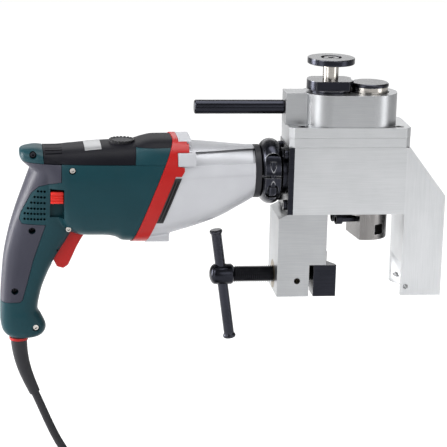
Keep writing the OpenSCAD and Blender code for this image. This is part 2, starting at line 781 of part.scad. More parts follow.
module head_bearings() {
  color(bright_steel) {
    ring_z(gear_bearing_r, hub_r + run, [gear_bearing_z, gear_bearing_z + gear_bearing_h]);
    for (x = pinion_bearing_x)
      ring_x(pinion_bearing_r, pinion_shaft_r + run, [x, x + pinion_bearing_w], 0, drive_z);
  }
}

module feed_collar() {
  color(black_steel) translate([-feed_offset, 0, 0]) difference() {
    union() {
      rod_z(collar_spigot_r, [roof_z, house_z1]);
      rod_z(feed_collar_d / 2 - 2.5, [house_z1, feed_collar_z]);
      intersection() {
        rod_z(feed_collar_d / 2, [feed_collar_z, post_z0]);
        box([-feed_collar_d, feed_collar_d], [-feed_collar_flats / 2, feed_collar_flats / 2],
          [feed_collar_z - cut, post_z0 + cut]);
      }
    }
    rod_z(post_r + run, [roof_z - cut, post_z0 + cut]);
    rod_z(sleeve_cap_d / 2 + slide_gap, [house_z1 - cut, post_z0 + cut], feed_offset);
  }
}

// Clamp

module moving_jaw() {
  color(black_steel) difference() {
    box([jaw_x0, jaw_x1], [-half_d, half_d], [-jaw_h / 2, jaw_z1]);
    mirror([1, 0, 0]) vee_cut(-jaw_x1, 1, -jaw_h / 2 - cut, jaw_z1 + cut);
    rod_x(neck_r + slide_gap, [jaw_x0 - cut, jaw_x0 + neck_len + cut]);
    box([jaw_x0 - cut, jaw_x0 + neck_len + cut], [-neck_r - slide_gap, neck_r + slide_gap], [-jaw_h, 0]);
    rod_x(button_r + slide_gap, [jaw_x0 + neck_len, jaw_x0 + neck_len + button_len]);
    box([jaw_x0 + neck_len, jaw_x0 + neck_len + button_len], [-button_r - slide_gap, button_r + slide_gap],
      [-jaw_h, 0]);
  }
}

module clamp_screw() {
  edge = 3;
  head = clamp_head_d / 2;
  color(black_steel) difference() {
    union() {
      translate([clamp_head_x0, 0, 0]) rotate([0, 90, 0]) rotate_extrude() polygon(concat(
        [for (a = [0 : 15 : 90]) [head * sin(a), (head - head * cos(a)) * 0.6]],
        [[head, clamp_head_l - edge], [clamp_r, clamp_head_l], [0, clamp_head_l]]));
      rod_x(clamp_r, [clamp_head_x1 - cut, jaw_x0 - 2 * slide_gap]);
      rod_x(neck_r, [jaw_x0 - cut, jaw_x0 + neck_len + cut]);
      rod_x(button_r, [jaw_x0 + neck_len + slide_gap, jaw_x0 + neck_len + button_len - slide_gap]);
    }
    translate([cross_x, 0, 0]) rotate([0, -bar_lean, 0])
      rod_z(bar_d / 2 + slide_gap, [-clamp_head_d, clamp_head_d]);
  }
}

// The bar's ends are upset, so that it can't leave its hole
bar_cap_r = bar_d / 2 + 1.2;
bar_cap_l = 5;
module tommy_bar() {
  edge = 1;
  color(black_steel) translate([cross_x, 0, 0]) rotate([0, -bar_lean, 0])
    translate([0, 0, -bar_drop - bar_l / 2]) rotate_extrude() polygon([
      [0, 0], [bar_cap_r - edge, 0], [bar_cap_r, edge], [bar_cap_r, bar_cap_l / 2], [bar_d / 2, bar_cap_l],
      [bar_d / 2, bar_l - bar_cap_l], [bar_cap_r, bar_l - bar_cap_l / 2], [bar_cap_r, bar_l - edge],
      [bar_cap_r - edge, bar_l], [0, bar_l]]);
}

// Feed

knob_recess_r = 10;
knob_recess_h = 2.6;
knob_screw_r = 3;
module feed_knob() {
  edge = 0.6;
  color(black_steel) translate([-feed_offset, 0, knob_z0]) difference() {
    rotate_extrude() polygon([
      [0, 0], [knob_d / 2 - edge, 0], [knob_d / 2, edge], [knob_d / 2, knob_t - edge],
      [knob_d / 2 - edge, knob_t], [0, knob_t]]);
    rod_z(knob_recess_r, [knob_t - knob_recess_h, knob_t + cut]);
    rod_z(knob_screw_r, [-cut, knob_t]);
  }
}

module knob_screw() {
  color(black_steel) translate([-feed_offset, 0, knob_z0 + knob_t - knob_recess_h]) difference() {
    union() {
      rod_z(knob_recess_r - 2.5, [0, knob_recess_h - 0.4]);
      rod_z(knob_screw_r, [-knob_t + knob_recess_h - 10, 0]);
    }
    translate([0, 0, 0.4]) cylinder(r = 3.4, h = knob_t, $fn = 6);
  }
}

module feed_shaft() {
  color(bright_steel) difference() {
    rod_z(post_r, [shaft_z0, knob_z0], -feed_offset);
    rod_z(knob_screw_r, [knob_z0 - 11, knob_z0 + cut], -feed_offset);
  }
}

module spur_wheel(n, m, w) {
  linear_extrude(w) polygon(spur_points(n, m));
}

module feed_pinion() {
  color(bright_steel) difference() {
    translate([-feed_offset, 0, feed_gear_z]) spur_wheel(feed_pinion_n, feed_module, feed_gear_h);
    rod_z(post_r, [feed_gear_z - cut, nut_top_z + cut], -feed_offset);
  }
}

module feed_nut_gear() {
  color(bronze) difference() {
    union() {
      translate([0, 0, feed_gear_z]) rotate([0, 0, 180 + 180 / feed_nut_n])
        spur_wheel(feed_nut_n, feed_module, feed_gear_h);
      rod_z(sleeve_r + 3, [plate_z1 + slide_gap, feed_gear_z + cut]);
    }
    rod_z(sleeve_r + run, [plate_z1 - cut, nut_top_z + cut]);
  }
}

module feed_sleeve() {
  color(bright_steel) difference() {
    union() {
      rod_z(sleeve_r, [sleeve_z0, ring_z0 + cut]);
      rod_z(sleeve_ring_d / 2, [ring_z0, ring_z1]);
    }
    rod_z(sleeve_bore_r, [sleeve_z0 + sleeve_floor, ring_z1 + cut]);
    rod_z(spindle_r + slide_gap, [sleeve_z0 - cut, ring_z1]);
  }
}

module sleeve_cap() {
  edge = 1.2;
  color(black_steel) translate([0, 0, ring_z1]) rotate_extrude() polygon([
    [0, -sleeve_cap_t], [sleeve_bore_r, -sleeve_cap_t], [sleeve_bore_r, 0], [sleeve_cap_d / 2, 0],
    [sleeve_cap_d / 2, sleeve_cap_t - edge], [sleeve_cap_d / 2 - edge, sleeve_cap_t], [0, sleeve_cap_t]]);
}

module sleeve_bearings() {
  color(bright_steel) for (z = sleeve_bearing_z)
    ring_z(sleeve_bore_r, journal_r + run, [z, z + sleeve_bearing_h]);
}

// Spindle and bevel gears

module spindle() {
  keyway_z0 = hub_z0 - 1;
  keyway_z1 = drive_z + feed_travel;
  color(bright_steel) difference() {
    union() {
      rod_z(nose_stub_r, [cutter_z1 - nose_stub_l, cutter_z1 + cut]);
      rod_z(spindle_r, [cutter_z1, sleeve_z0 + sleeve_floor - 0.4]);
      rod_z(journal_r, [sleeve_z0 + sleeve_floor - cut, spindle_z1]);
    }
    box([spindle_r - key_h - slide_gap, spindle_r + cut], [-key_w / 2 - slide_gap, key_w / 2 + slide_gap],
      [keyway_z0, keyway_z1]);
  }
}

module cutter_head() {
  color(black_steel) difference() {
    rod_z(cutter_r, [cutter_z0, cutter_z1]);
    rotate([0, 0, cutter_flat_turn]) box([-cutter_d, cutter_flat_x], [-cutter_d, cutter_d],
      [cutter_z0 - cut, cutter_z1 - cutter_flange_t]);
    rod_z(nose_stub_r, [cutter_z1 - nose_stub_l, cutter_z1 + cut]);
    rotate([0, 0, -59]) box([spindle_r, cutter_d], [-tool_pocket / 2, tool_pocket / 2],
      [cutter_z0 + 5, cutter_z0 + 5 + tool_pocket]);
    rotate([0, 0, cutter_flat_turn]) for (y = cutter_screw_y)
      rod_x(screw_r, [cutter_flat_x - cut, cutter_flat_x + cutter_screw_grip], y, cutter_screw_z());
  }
}

cutter_screw_y = [-5.5, 5.5];
function cutter_screw_z() = cutter_z1 - cutter_flange_t - head_r - 1;

module cutter_screws() {
  color(black_steel) rotate([0, 0, cutter_flat_turn]) for (y = cutter_screw_y)
    translate([-cutter_screw_reach, y, cutter_screw_z()]) rotate([0, -90, 0])
      socket_screw(cutter_screw_reach + cutter_flat_x - screw_d + cutter_screw_grip);
}

module bevel_gear() {
  color(bright_steel) difference() {
    union() {
      translate([0, 0, drive_z]) bevel_teeth(bevel_gear_n, gear_cone, 0, drive_z - gear_back_z);
      rod_z(hub_r, [hub_z0, drive_z - bevel_pinion_r]);
    }
    difference() {
      rod_z(spindle_r + run, [hub_z0 - cut, drive_z]);
      box([spindle_r - key_h, spindle_r + cut], [-key_w / 2, key_w / 2], [hub_z0 - 2 * cut, drive_z + cut]);
    }
  }
}

module bevel_pinion() {
  back = cone_out * cos(pinion_cone) + 2;
  color(bright_steel) difference() {
    union() {
      translate([0, 0, drive_z]) rotate([0, 90, 0])
        bevel_teeth(bevel_pinion_n, pinion_cone, 180 / bevel_pinion_n, back);
      rod_x(pinion_shaft_r, [collar_x1, -back + 3], 0, drive_z);
    }
    rod_x(stub_r, [collar_x1 - cut, collar_x1 + stub_l], 0, drive_z);
  }
}

// Drill train

module output_shaft() {
  color(bright_steel) {
    rod_x(output_r, [stage2_x, collar_x1], 0, drive_z);
    rod_x(stub_r, [collar_x1 - cut, collar_x1 + stub_l - 1], 0, drive_z);
  }
}

// Wheel across X with one tooth, or one gap, turned towards an angle in the YZ plane
module wheel_x(n, x, y, z, towards) {
  translate([x, y, z]) rotate([90, 0, 90]) rotate([0, 0, towards]) spur_wheel(n, spur_module, spur_w);
}

to_mid = atan2(mid_z - motor_z, mid_y);

module output_gear() {
  color(bright_steel) difference() {
    wheel_x(large_n, stage2_x, 0, drive_z, -to_mid + 180 / large_n);
    rod_x(output_r, [stage2_x - cut, stage2_x + spur_w + cut], 0, drive_z);
  }
}

module intermediate_gear() {
  color(bright_steel) {
    wheel_x(large_n, stage1_x, mid_y, mid_z, 180 + to_mid + 180 / large_n);
    wheel_x(small_n, stage2_x, mid_y, mid_z, 180 - to_mid);
    rod_x(mid_shaft_r, [stage1_x - mid_shaft_over, stage2_x + spur_w + mid_shaft_over], mid_y, mid_z);
  }
}

module armature_shaft() {
  color(bright_steel) {
    rod_x(shaft_r, [rear_bearing_x - end_room, stage1_x - side_room], 0, motor_z);
    rod_x(pinion_core_r, [stage1_x - end_room, stage1_x + spur_w], 0, motor_z);
    wheel_x(small_n, stage1_x, 0, motor_z, to_mid);
  }
}

module armature_core() {
  core_r = stator_bore / 2 - air_gap;
  color(copper) difference() {
    union() {
      rod_x(core_r, [core_x0, core_x0 + armature_len], 0, motor_z);
      rod_x(commutator_r, [core_x0 - commutator_l, core_x0 + cut], 0, motor_z);
    }
    rod_x(shaft_r, [core_x0 - commutator_l - cut, core_x0 + armature_len + cut], 0, motor_z);
  }
}

module motor_fan() {
  blades = 12;
  color(black_rubber) difference() {
    union() {
      rod_x(fan_r, [fan_x + fan_w - 2, fan_x + fan_w], 0, motor_z);
      rod_x(shaft_r + 4, [fan_x, fan_x + fan_w], 0, motor_z);
      for (k = [0 : blades - 1]) translate([fan_x, 0, motor_z]) rotate([360 * k / blades, 0, 0])
        box([0, fan_w - 1], [-0.8, 0.8], [shaft_r + 3, fan_r - 0.5]);
    }
    rod_x(shaft_r, [fan_x - cut, fan_x + fan_w + cut], 0, motor_z);
  }
}

module stator() {
  color(copper) ring_x(stator_d / 2, stator_bore / 2,
    [core_x0 - end_room, core_x0 + armature_len + end_room], 0, motor_z);
}

module brush_holders() {
  color(bronze) for (s = [-1, 1])
    brush_box(s, commutator_r + slide_gap);
}

module brush_box(side, inner) {
  outer = stator_d / 2 + brush_reach;
  box([core_x0 - brush_step - brush_w, core_x0 - brush_step], side > 0 ? [inner, outer] : [-outer, -inner],
    [motor_z - brush_w / 2, motor_z + brush_w / 2]);
}

brush_reach = 2;
motor_bearing_r = 11;
mid_bearing_r = 8;
output_bearing_r = 17;
output_bearing_x = [stage2_x + spur_w + bearing_w + 2 * end_room, nose_x0 - bearing_w];
module drive_bearings() {
  color(bright_steel) {
    for (x = [rear_bearing_x, front_bearing_x])
      ring_x(motor_bearing_r, shaft_r + run, [x, x + bearing_w], 0, motor_z);
    for (x = [stage1_x - bearing_w - side_room, stage2_x + spur_w + end_room])
      ring_x(mid_bearing_r, mid_shaft_r + run, [x, x + bearing_w], mid_y, mid_z);
    for (x = output_bearing_x)
      ring_x(output_bearing_r, output_r + run, [x, x + bearing_w], 0, drive_z);
  }
}

// Drill housing

module motor_room() {
  rod_x(stator_d / 2 + seat_gap, [core_x0 - commutator_l - end_room, core_x0 + armature_len + end_room],
    0, motor_z);
  rod_x(fan_r + fan_gap, [core_x0 + armature_len, fan_x + 3 * fan_w], 0, motor_z);
  rod_x(motor_bearing_r + seat_gap, [rear_bearing_x, core_x0 - commutator_l], 0, motor_z);
  rod_x(shaft_r + side_room, [rear_bearing_x - 2 * end_room, rear_bearing_x + cut], 0, motor_z);
  for (s = [-1, 1]) brush_box(s, commutator_r);
}

// Room for the switch, open to the trigger in front and to the cord's channel behind
switch_x = [-317, -306];
switch_y = 12.5;
switch_z = [27, 61];
module switch_room() {
  cord_room = cord_r + 1;
  box([switch_x[0], switch_x[1] + 10], [-switch_y, switch_y], switch_z);
  box([sleeve_top[0], switch_x[0] + cut], [-cord_room, cord_room], [switch_z[0], switch_z[0] + 2 * cord_room]);
  rod_z(cord_room, [sleeve_top[2] - cut, switch_z[0] + cord_room], sleeve_top[0]);
  rod_z(sleeve_d / 2 + slide_gap, [sleeve_top[2] - 10, sleeve_top[2]], sleeve_top[0]);
}

module trigger_place(grow) {
  translate([trigger_at[0], 0, trigger_at[1]]) rotate([0, trigger_turn, 0]) rotate([90, 0, 0])
    translate([0, 0, -trigger_w / 2 - grow]) linear_extrude(trigger_w + 2 * grow) children();
}

module trigger_pocket() {
  trigger_place(0.4) translate([trigger_pocket_x, -21]) square([20 - trigger_pocket_x, 43]);
}

module slider_pocket() {
  box([slider_x0 - slider_rim, slider_x1 + slider_rim], [slider_y0 - 12, slider_y1],
    [slider_z0 - slider_travel - 3, slider_z1 + 3.5]);
}

module shell_outside() {
  intersection() {
    union() {
      body_form();
      handle_form();
    }
    beyond_slope(band_x, -1);
  }
}

module shell(side) {
  difference() {
    intersection() {
      shell_outside();
      box([-400, 0], side < 0 ? [-60, 0] : [0, 60], [-100, 200]);
    }
    box([cover_x0, 0], [-60, 60], [seam_z, 200]);
    grip_region();
    motor_room();
    switch_room();
    trigger_pocket();
    if (side < 0) slider_pocket();
    if (side < 0) for (s = shell_screws) rod_y(shell_screw_r, [-60, s[2] + shell_screw_l], s[0], s[1]);
  }
}

module near_shell() {
  color(dark_green) shell(-1);
}

module far_shell() {
  color(dark_green) shell(1);
}

// The soft skin covers the handle behind the grip outline
module grip_region() {
  difference() {
    translate([0, 60, 0]) rotate([90, 0, 0]) linear_extrude(120) polygon(grip_outline);
    handle_form(-grip_t);
  }
}

module grip() {
  color(soft_grey) difference() {
    intersection() {
      shell_outside();
      grip_region();
    }
    for (s = shell_screws) rod_y(shell_screw_r, [-60, s[2] + shell_screw_l], s[0], s[1]);
  }
}

// Air slots along the rear of the top cover, on both sides
cover_slot_y = [8, 15, 21];
cover_slot_x = -309;
cover_slot_l = 16;
cover_slot_w = 1.6;
cover_slot_z = 123;
module top_cover() {
  color(soft_grey) difference() {
    intersection() {
      body_form();
      beyond_slope(band_x, -1);
      box([cover_x0, 0], [-60, 60], [seam_z, 200]);
    }
    rod_z(selector_d / 2 + slide_gap, [selector_z0 - slide_gap, 200], selector_x);
    motor_room();
    for (y = cover_slot_y, s = [-1, 1])
      box([cover_slot_x, cover_slot_x + cover_slot_l], [s * y - cover_slot_w / 2, s * y + cover_slot_w / 2],
        [cover_slot_z, 200]);
  }
}

module red_band() {
  color(signal_red) difference() {
    intersection() {
      body_form(proud);
      beyond_slope(band_x, 1);
      beyond_slope(band_x + band_w, -1);
    }
    motor_room();
  }
}

module air_vents() {
  color(black_rubber) intersection() {
    body_form(0.3);
    beyond_slope(band_x + band_w, 1);
    beyond_slope(band_x + band_w + vent_w, -1);
    for (s = [-1, 1]) box([-260, -100], s < 0 ? [-60, -35] : [35, 60], [vent_z0, vent_z1]);
  }
}

case_rib_z = [115.2, 126.2];
case_rib_x = -168.5;
case_groove = 1.5;
foot_x1 = -191.5;
foot_w = 21;
module gear_case() {
  wheel_r = spur_module * (large_n / 2 + 1) + wheel_room;
  color(silver_cast) difference() {
    union() {
      intersection() {
        union() {
          case_form();
          box([-230, foot_x1], [-foot_w, foot_w], [38.4, 60]);
          box([-230, -172], [-16, 16], [120, 136.5]);
        }
        beyond_slope(band_x + band_w, 1);
      }
      rod_x(spigot_r, [nose_x0 - cut, spigot_x1], 0, drive_z);
    }
    difference() {
      box([case_rib_x, nose_x0 - 1], [-60, 60], case_rib_z);
      case_form(-case_groove);
      box([case_rib_x - cut, 0], [-16, 16], [0, 200]);
    }
    intersection() {
      beyond_slope(band_x + band_w + vent_w, -1);
      for (s = [-1, 1]) box([-260, -100], s < 0 ? [-60, -35] : [35, 60], [vent_z0, vent_z1]);
    }
    rod_x(fan_r + fan_gap, [core_x0 + armature_len, fan_x + fan_w + 2 * fan_gap], 0, motor_z);
    rod_x(motor_bearing_r + seat_gap, [fan_x, front_bearing_x + bearing_w], 0, motor_z);
    rod_x(shaft_r + 3 * side_room, [front_bearing_x, stage1_x + spur_w + side_room], 0, motor_z);
    rod_x(wheel_r, [stage1_x - side_room, stage1_x + spur_w + side_room], mid_y, mid_z);
    rod_x(mid_bearing_r + seat_gap,
      [stage1_x - mid_shaft_over - side_room, stage2_x + spur_w + end_room + bearing_w],
      mid_y, mid_z);
    rod_x(shaft_r, [stage2_x + spur_w, stage2_x + spur_w + mid_shaft_over + end_room], mid_y, mid_z);
    rod_x(wheel_r, [stage2_x - side_room, stage2_x + spur_w + side_room], 0, drive_z);
    for (x = output_bearing_x) rod_x(output_bearing_r + seat_gap, [x, x + bearing_w], 0, drive_z);
    rod_x(output_r + side_room, [stage2_x, spigot_x1 + cut], 0, drive_z);
  }
}

module nose_ring() {
  color(black_rubber) ring_x(nose_r, spigot_r + run, [nose_x0, collar_x0], 0, drive_z);
}

module switch_block() {
  color(black_rubber) box(switch_x, [-switch_y, switch_y], switch_z);
}

module housing_screws() {
  color(black_steel) for (s = shell_screws) difference() {
    rod_y(shell_screw_r - 0.15, [s[2] + 2.5, s[2] + shell_screw_l], s[0], s[1]);
    rod_y(1.6, [s[2] + 2, s[2] + 4.5], s[0], s[1]);
  }
}

module trigger() {
  color(signal_red) trigger_place(0) polygon(trigger_outline);
}

module direction_slider() {
  color(signal_red) difference() {
    box([slider_x0, slider_x1], [slider_y0, slider_y1 - slide_gap], [slider_z0, slider_z1]);
    for (k = [0 : 2]) box([slider_x0 - cut, slider_x1 + cut], [slider_y0 - cut, slider_y0 + 0.8],
      [slider_z0 + 2.4 + 2.4 * k, slider_z0 + 3.6 + 2.4 * k]);
  }
}

module selector_knob() {
  grips = 20;
  color(black_rubber) difference() {
    rod_z(selector_d / 2, [selector_z0, selector_z1], selector_x);
    for (k = [0 : grips - 1]) translate([selector_x, 0, 0]) rotate([0, 0, 360 * k / grips])
      rod_z(0.9, [selector_z0 + 3, selector_z1 + cut], selector_d / 2);
  }
}

// Cord

function unit(v) = v / norm(v);
function bezier(a, b, c, d, t) = let(u = 1 - t)
  u * u * u * a + 3 * u * u * t * b + 3 * u * t * t * c + t * t * t * d;
// Curve from a to d that leaves along u and arrives along v, in n steps
function curve(a, u, d, v, n) = [for (i = [0 : n]) bezier(a, a + u, d - v, d, i / n)];
function path_dir(p, i, ends) = i == 0 ? unit(ends[0])
  : i == len(p) - 1 ? unit(ends[1]) : unit(p[i + 1] - p[i - 1]);
function tube_ring(c, d, r, n, up) = let(a = unit(cross(d, up)), b = cross(d, a))
  [for (k = [0 : n - 1]) c + r * (cos(360 * k / n) * a + sin(360 * k / n) * b)];

// Round tube along points, square to the two end directions, r at its start and r_end at its end
module tube(points, ends, r, n, up, r_end = undef) {
  last = len(points) - 1;
  grow = r_end == undef ? 0 : (r_end - r) / last;
  skin([for (i = [0 : last]) tube_ring(points[i], path_dir(points, i, ends), r + grow * i, n, up)]);
}

// The sleeve bends forward from its socket in the handle's foot to the start of the lead
module cord_sleeve() {
  down = [0, 0, -26.5];
  color(black_rubber) tube(curve(sleeve_top, down, sleeve_end, 22 * sleeve_end_dir, 8), [down, sleeve_end_dir],
    sleeve_d / 2, 20, [0, 1, 0], cord_r + 1.2);
}

// The lead hangs from the sleeve, meets the floor and runs into the coil
module cord_lead() {
  arrive = [95, 0, 0];
  color(black_rubber) tube(curve(sleeve_end, 60 * sleeve_end_dir, coil_start, arrive, 12),
    [sleeve_end_dir, arrive],
    cord_r, 8, [0, 1, 0]);
}

// Coil: spirals in and out in layers, and climbs in the half turn where it turns back
function wave(t) = let(k = floor(min(t, coil_turns * coil_layers - 0.001) / coil_turns), u = t - k * coil_turns)
  k % 2 == 0 ? coil_out_r - coil_pitch * u : coil_in_r + coil_pitch * u;
function ease(u) = let(v = min(1, max(0, u))) v * v * (3 - 2 * v);
function climb(t) = coil_pitch * [for (k = [1 : coil_layers - 1]) ease((t - coil_turns * k + 0.25) * 2)]
  * [for (k = [1 : coil_layers - 1]) 1];
function coil_point(t) = [coil_at[0] + wave(t) * cos(90 - 360 * t), coil_at[1] + wave(t) * sin(90 - 360 * t),
  lie_z + climb(t)];
coil_steps = coil_turns * coil_layers * coil_rings;

module cord_coil() {
  points = concat([coil_start], [for (i = [0 : coil_steps]) coil_point(i / coil_rings)], [coil_end]);
  color(black_rubber) tube(points, [[1, 0, 0], [1, 0, 0]], cord_r, 6, [0, 0, 1]);
}

module cord_tail() {
  along = [30, 0, 0];
  color(black_rubber) tube(curve(coil_end, along, plug_at, along, 9), [along, along], cord_r, 8, [0, 0, 1]);
}

tie_t = 1.2;
tie_w = 14;
tie_room = 0.6;
module cord_tie() {
  x0 = coil_at[0] + coil_in_r - cord_r - tie_room;
  x1 = coil_at[0] + coil_out_r + cord_r + tie_room;
  z0 = lie_z - cord_r - 0.3;
  z1 = lie_z + coil_pitch * (coil_layers - 1) + cord_r + tie_room;
  y = [coil_at[1] - tie_w / 2, coil_at[1] + tie_w / 2];
  color(black_rubber) difference() {
    box([x0 - tie_t, x1 + tie_t], y, [z0 - tie_t, z1 + tie_t]);
    box([x0, x1], [y[0] - cut, y[1] + cut], [z0, z1]);
  }
}

module plug() {
  at = plug_at;
  edge = 3;
  color(black_rubber) translate(at) rotate([0, 90, 0]) rotate_extrude() polygon([
    [0, 0], [cord_r + 1.5, 0], [cord_r + 3, plug_grip_l * 0.7], [plug_r - 5, plug_grip_l],
    [plug_r, plug_grip_l + 8], [plug_r, plug_grip_l + plug_l - edge], [plug_r - edge, plug_grip_l + plug_l],
    [0, plug_grip_l + plug_l]]);
  color(bright_steel) for (s = [-1, 1])
    rod_x(pin_r, [at[0] + plug_grip_l + plug_l - cut, at[0] + plug_grip_l + plug_l + pin_l],
      at[1] + s * pin_gap / 2, at[2]);
}

gear_block();
middle_plate();
top_plate();
feed_housing();
left_leg();
right_leg();
motor_flange();
clamp_collar();
collar_screw();
socket_screws();
side_handle();
screw_bush();
spindle_bush();
head_bearings();
feed_collar();
moving_jaw();
clamp_screw();
tommy_bar();
feed_knob();
knob_screw();
feed_shaft();
feed_pinion();
feed_nut_gear();
feed_sleeve();
sleeve_cap();
sleeve_bearings();
spindle();
cutter_head();
cutter_screws();
bevel_gear();
bevel_pinion();
output_shaft();
output_gear();
intermediate_gear();
armature_shaft();
armature_core();
motor_fan();
near_shell();
far_shell();
top_cover();
grip();
red_band();
air_vents();
gear_case();
nose_ring();
stator();
brush_holders();
switch_block();
drive_bearings();
housing_screws();
trigger();
direction_slider();
selector_knob();
cord_sleeve();
cord_lead();
cord_coil();
cord_tail();
cord_tie();
plug();
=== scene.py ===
import json
import math

import bmesh
import bpy
import numpy as np
from mathutils import Matrix, Vector

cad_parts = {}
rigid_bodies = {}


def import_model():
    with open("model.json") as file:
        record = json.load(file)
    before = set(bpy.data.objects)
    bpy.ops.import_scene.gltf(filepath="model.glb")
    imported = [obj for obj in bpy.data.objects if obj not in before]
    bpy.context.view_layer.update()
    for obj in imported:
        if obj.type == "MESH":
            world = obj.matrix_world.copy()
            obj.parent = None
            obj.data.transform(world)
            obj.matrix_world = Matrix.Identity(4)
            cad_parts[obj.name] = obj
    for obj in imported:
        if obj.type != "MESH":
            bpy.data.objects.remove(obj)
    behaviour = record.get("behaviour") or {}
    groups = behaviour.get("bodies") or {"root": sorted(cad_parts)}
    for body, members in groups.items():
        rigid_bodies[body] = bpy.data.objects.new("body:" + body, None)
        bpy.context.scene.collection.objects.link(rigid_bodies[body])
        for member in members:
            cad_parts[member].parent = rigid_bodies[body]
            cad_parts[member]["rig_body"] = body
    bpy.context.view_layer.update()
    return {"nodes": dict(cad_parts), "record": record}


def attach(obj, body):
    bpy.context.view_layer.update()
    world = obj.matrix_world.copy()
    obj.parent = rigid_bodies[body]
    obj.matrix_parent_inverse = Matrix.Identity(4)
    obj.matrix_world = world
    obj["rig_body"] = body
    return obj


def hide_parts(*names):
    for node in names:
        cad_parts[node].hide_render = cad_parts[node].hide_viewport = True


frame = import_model()
nodes = frame["nodes"]
scene = bpy.context.scene
MM = 0.001


def linear(hex_colour):
    """sRGB hex colour as linear RGBA."""
    values = [int(hex_colour[i:i + 2], 16) / 255 for i in (1, 3, 5)]
    return tuple(v / 12.92 if v <= 0.04045 else ((v + 0.055) / 1.055) ** 2.4 for v in values) + (1.0,)


def add(tree, kind, settings=None, **inputs):
    """Adds a node: settings are its properties, inputs its sockets, as values or as sockets to link."""
    node = tree.nodes.new(kind)
    for key, value in (settings or {}).items():
        setattr(node, key, value)
    for key, value in inputs.items():
        name = key.replace("_", " ")
        socket = node.inputs[int(key[1:])] if key[0] == "i" and key[1:].isdigit() else node.inputs[name]
        if isinstance(value, bpy.types.NodeSocket):
            tree.links.new(value, socket)
        else:
            socket.default_value = value
    return node


# Camera: where the photograph was taken from

CAMERA_AT = (-379.8, -1785.8, 520.6)
CAMERA_RIGHT = (0.99144, -0.12801, 0.02564)
CAMERA_UP = (0.00773, 0.25362, 0.96727)
CAMERA_FORWARD = (0.13033, 0.95880, -0.25244)
LENS_MM = 156.03
SENSOR_MM = 36
FAR_CLIP_M = 30

camera_data = bpy.data.cameras.new("camera")
camera_data.sensor_width = SENSOR_MM
camera_data.lens = LENS_MM
camera_data.clip_end = FAR_CLIP_M
camera = bpy.data.objects.new("camera", camera_data)
scene.collection.objects.link(camera)
turn = Matrix((CAMERA_RIGHT, CAMERA_UP, [-c for c in CAMERA_FORWARD])).transposed()
camera.matrix_world = Matrix.Translation(Vector(CAMERA_AT) * MM) @ turn.to_4x4()
scene.camera = camera


# Mesh helpers

def object_from(name, mesh):
    obj = bpy.data.objects.new(name, mesh)
    scene.collection.objects.link(obj)
    return obj


def mesh_from(name, points_mm, faces):
    """Mesh from points in millimetres, with faces turned outwards."""
    mesh = bpy.data.meshes.new(name)
    mesh.from_pydata([Vector(p) * MM for p in points_mm], [], faces)
    work = bmesh.new()
    work.from_mesh(mesh)
    bmesh.ops.recalc_face_normals(work, faces=work.faces)
    work.to_mesh(mesh)
    work.free()
    return mesh


def outwards(obj):
    """Turns a closed piece's faces outwards."""
    work = bmesh.new()
    work.from_mesh(obj.data)
    bmesh.ops.recalc_face_normals(work, faces=work.faces)
    work.to_mesh(obj.data)
    work.free()
    return obj


def applied(obj):
    """The object's evaluated mesh as a plain mesh, with its modifiers removed."""
    graph = bpy.context.evaluated_depsgraph_get()
    mesh = bpy.data.meshes.new_from_object(obj.evaluated_get(graph))
    obj.modifiers.clear()
    old = obj.data
    obj.data = mesh
    if old.users == 0:
        bpy.data.meshes.remove(old)
    return obj


def finish_piece(obj, body, material, replaced=(), smooth=35):
    """Gives a piece its material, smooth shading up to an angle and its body."""
    obj.data.materials.clear()
    obj.data.materials.append(material)
    obj.data.polygons.foreach_set("material_index", [0] * len(obj.data.polygons))
    if smooth:
        obj.data.shade_smooth()
        obj.data.set_sharp_from_angle(angle=math.radians(smooth))
    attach(obj, body)
    if replaced:
        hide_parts(*replaced)
    return obj


def ring_faces(rings, sides):
    """Faces of a closed form made of rings of points, with both ends."""
    faces = []
    for i in range(rings - 1):
        for k in range(sides):
            b = (k + 1) % sides
            faces.append((i * sides + k, i * sides + b, (i + 1) * sides + b, (i + 1) * sides + k))
    faces.append(tuple(range(sides - 1, -1, -1)))
    faces.append(tuple(range((rings - 1) * sides, rings * sides)))
    return faces


def tube_mesh(name, path_mm, radii_mm, sides):
    """Round tube along a path, closed at both ends, with U along it and V round it."""
    path = np.array(path_mm, float)
    tangents = np.gradient(path, axis=0)
    tangents /= np.linalg.norm(tangents, axis=1)[:, None]
    normal = np.cross(tangents[0], (0.31, 0.2, 0.93))
    normal /= np.linalg.norm(normal)
    lengths = np.concatenate([[0], np.cumsum(np.linalg.norm(np.diff(path, axis=0), axis=1))])
    points = []
    for i, centre in enumerate(path):
        t = tangents[i]
        normal = normal - t * normal.dot(t)
        normal /= np.linalg.norm(normal)
        side = np.cross(t, normal)
        for k in range(sides):
            a = 2 * math.pi * k / sides
            points.append(centre + radii_mm[i] * (math.cos(a) * normal + math.sin(a) * side))
    mesh = mesh_from(name, points, ring_faces(len(path), sides))
    layer = mesh.uv_layers.new(name="UVMap")
    for poly in mesh.polygons:
        for loop in poly.loop_indices:
            index = mesh.loops[loop].vertex_index
            layer.data[loop].uv = (lengths[index // sides] * MM, (index % sides) / sides)
    return mesh


# Drill housing: the same outlines as in the part's source, drawn finer and blended

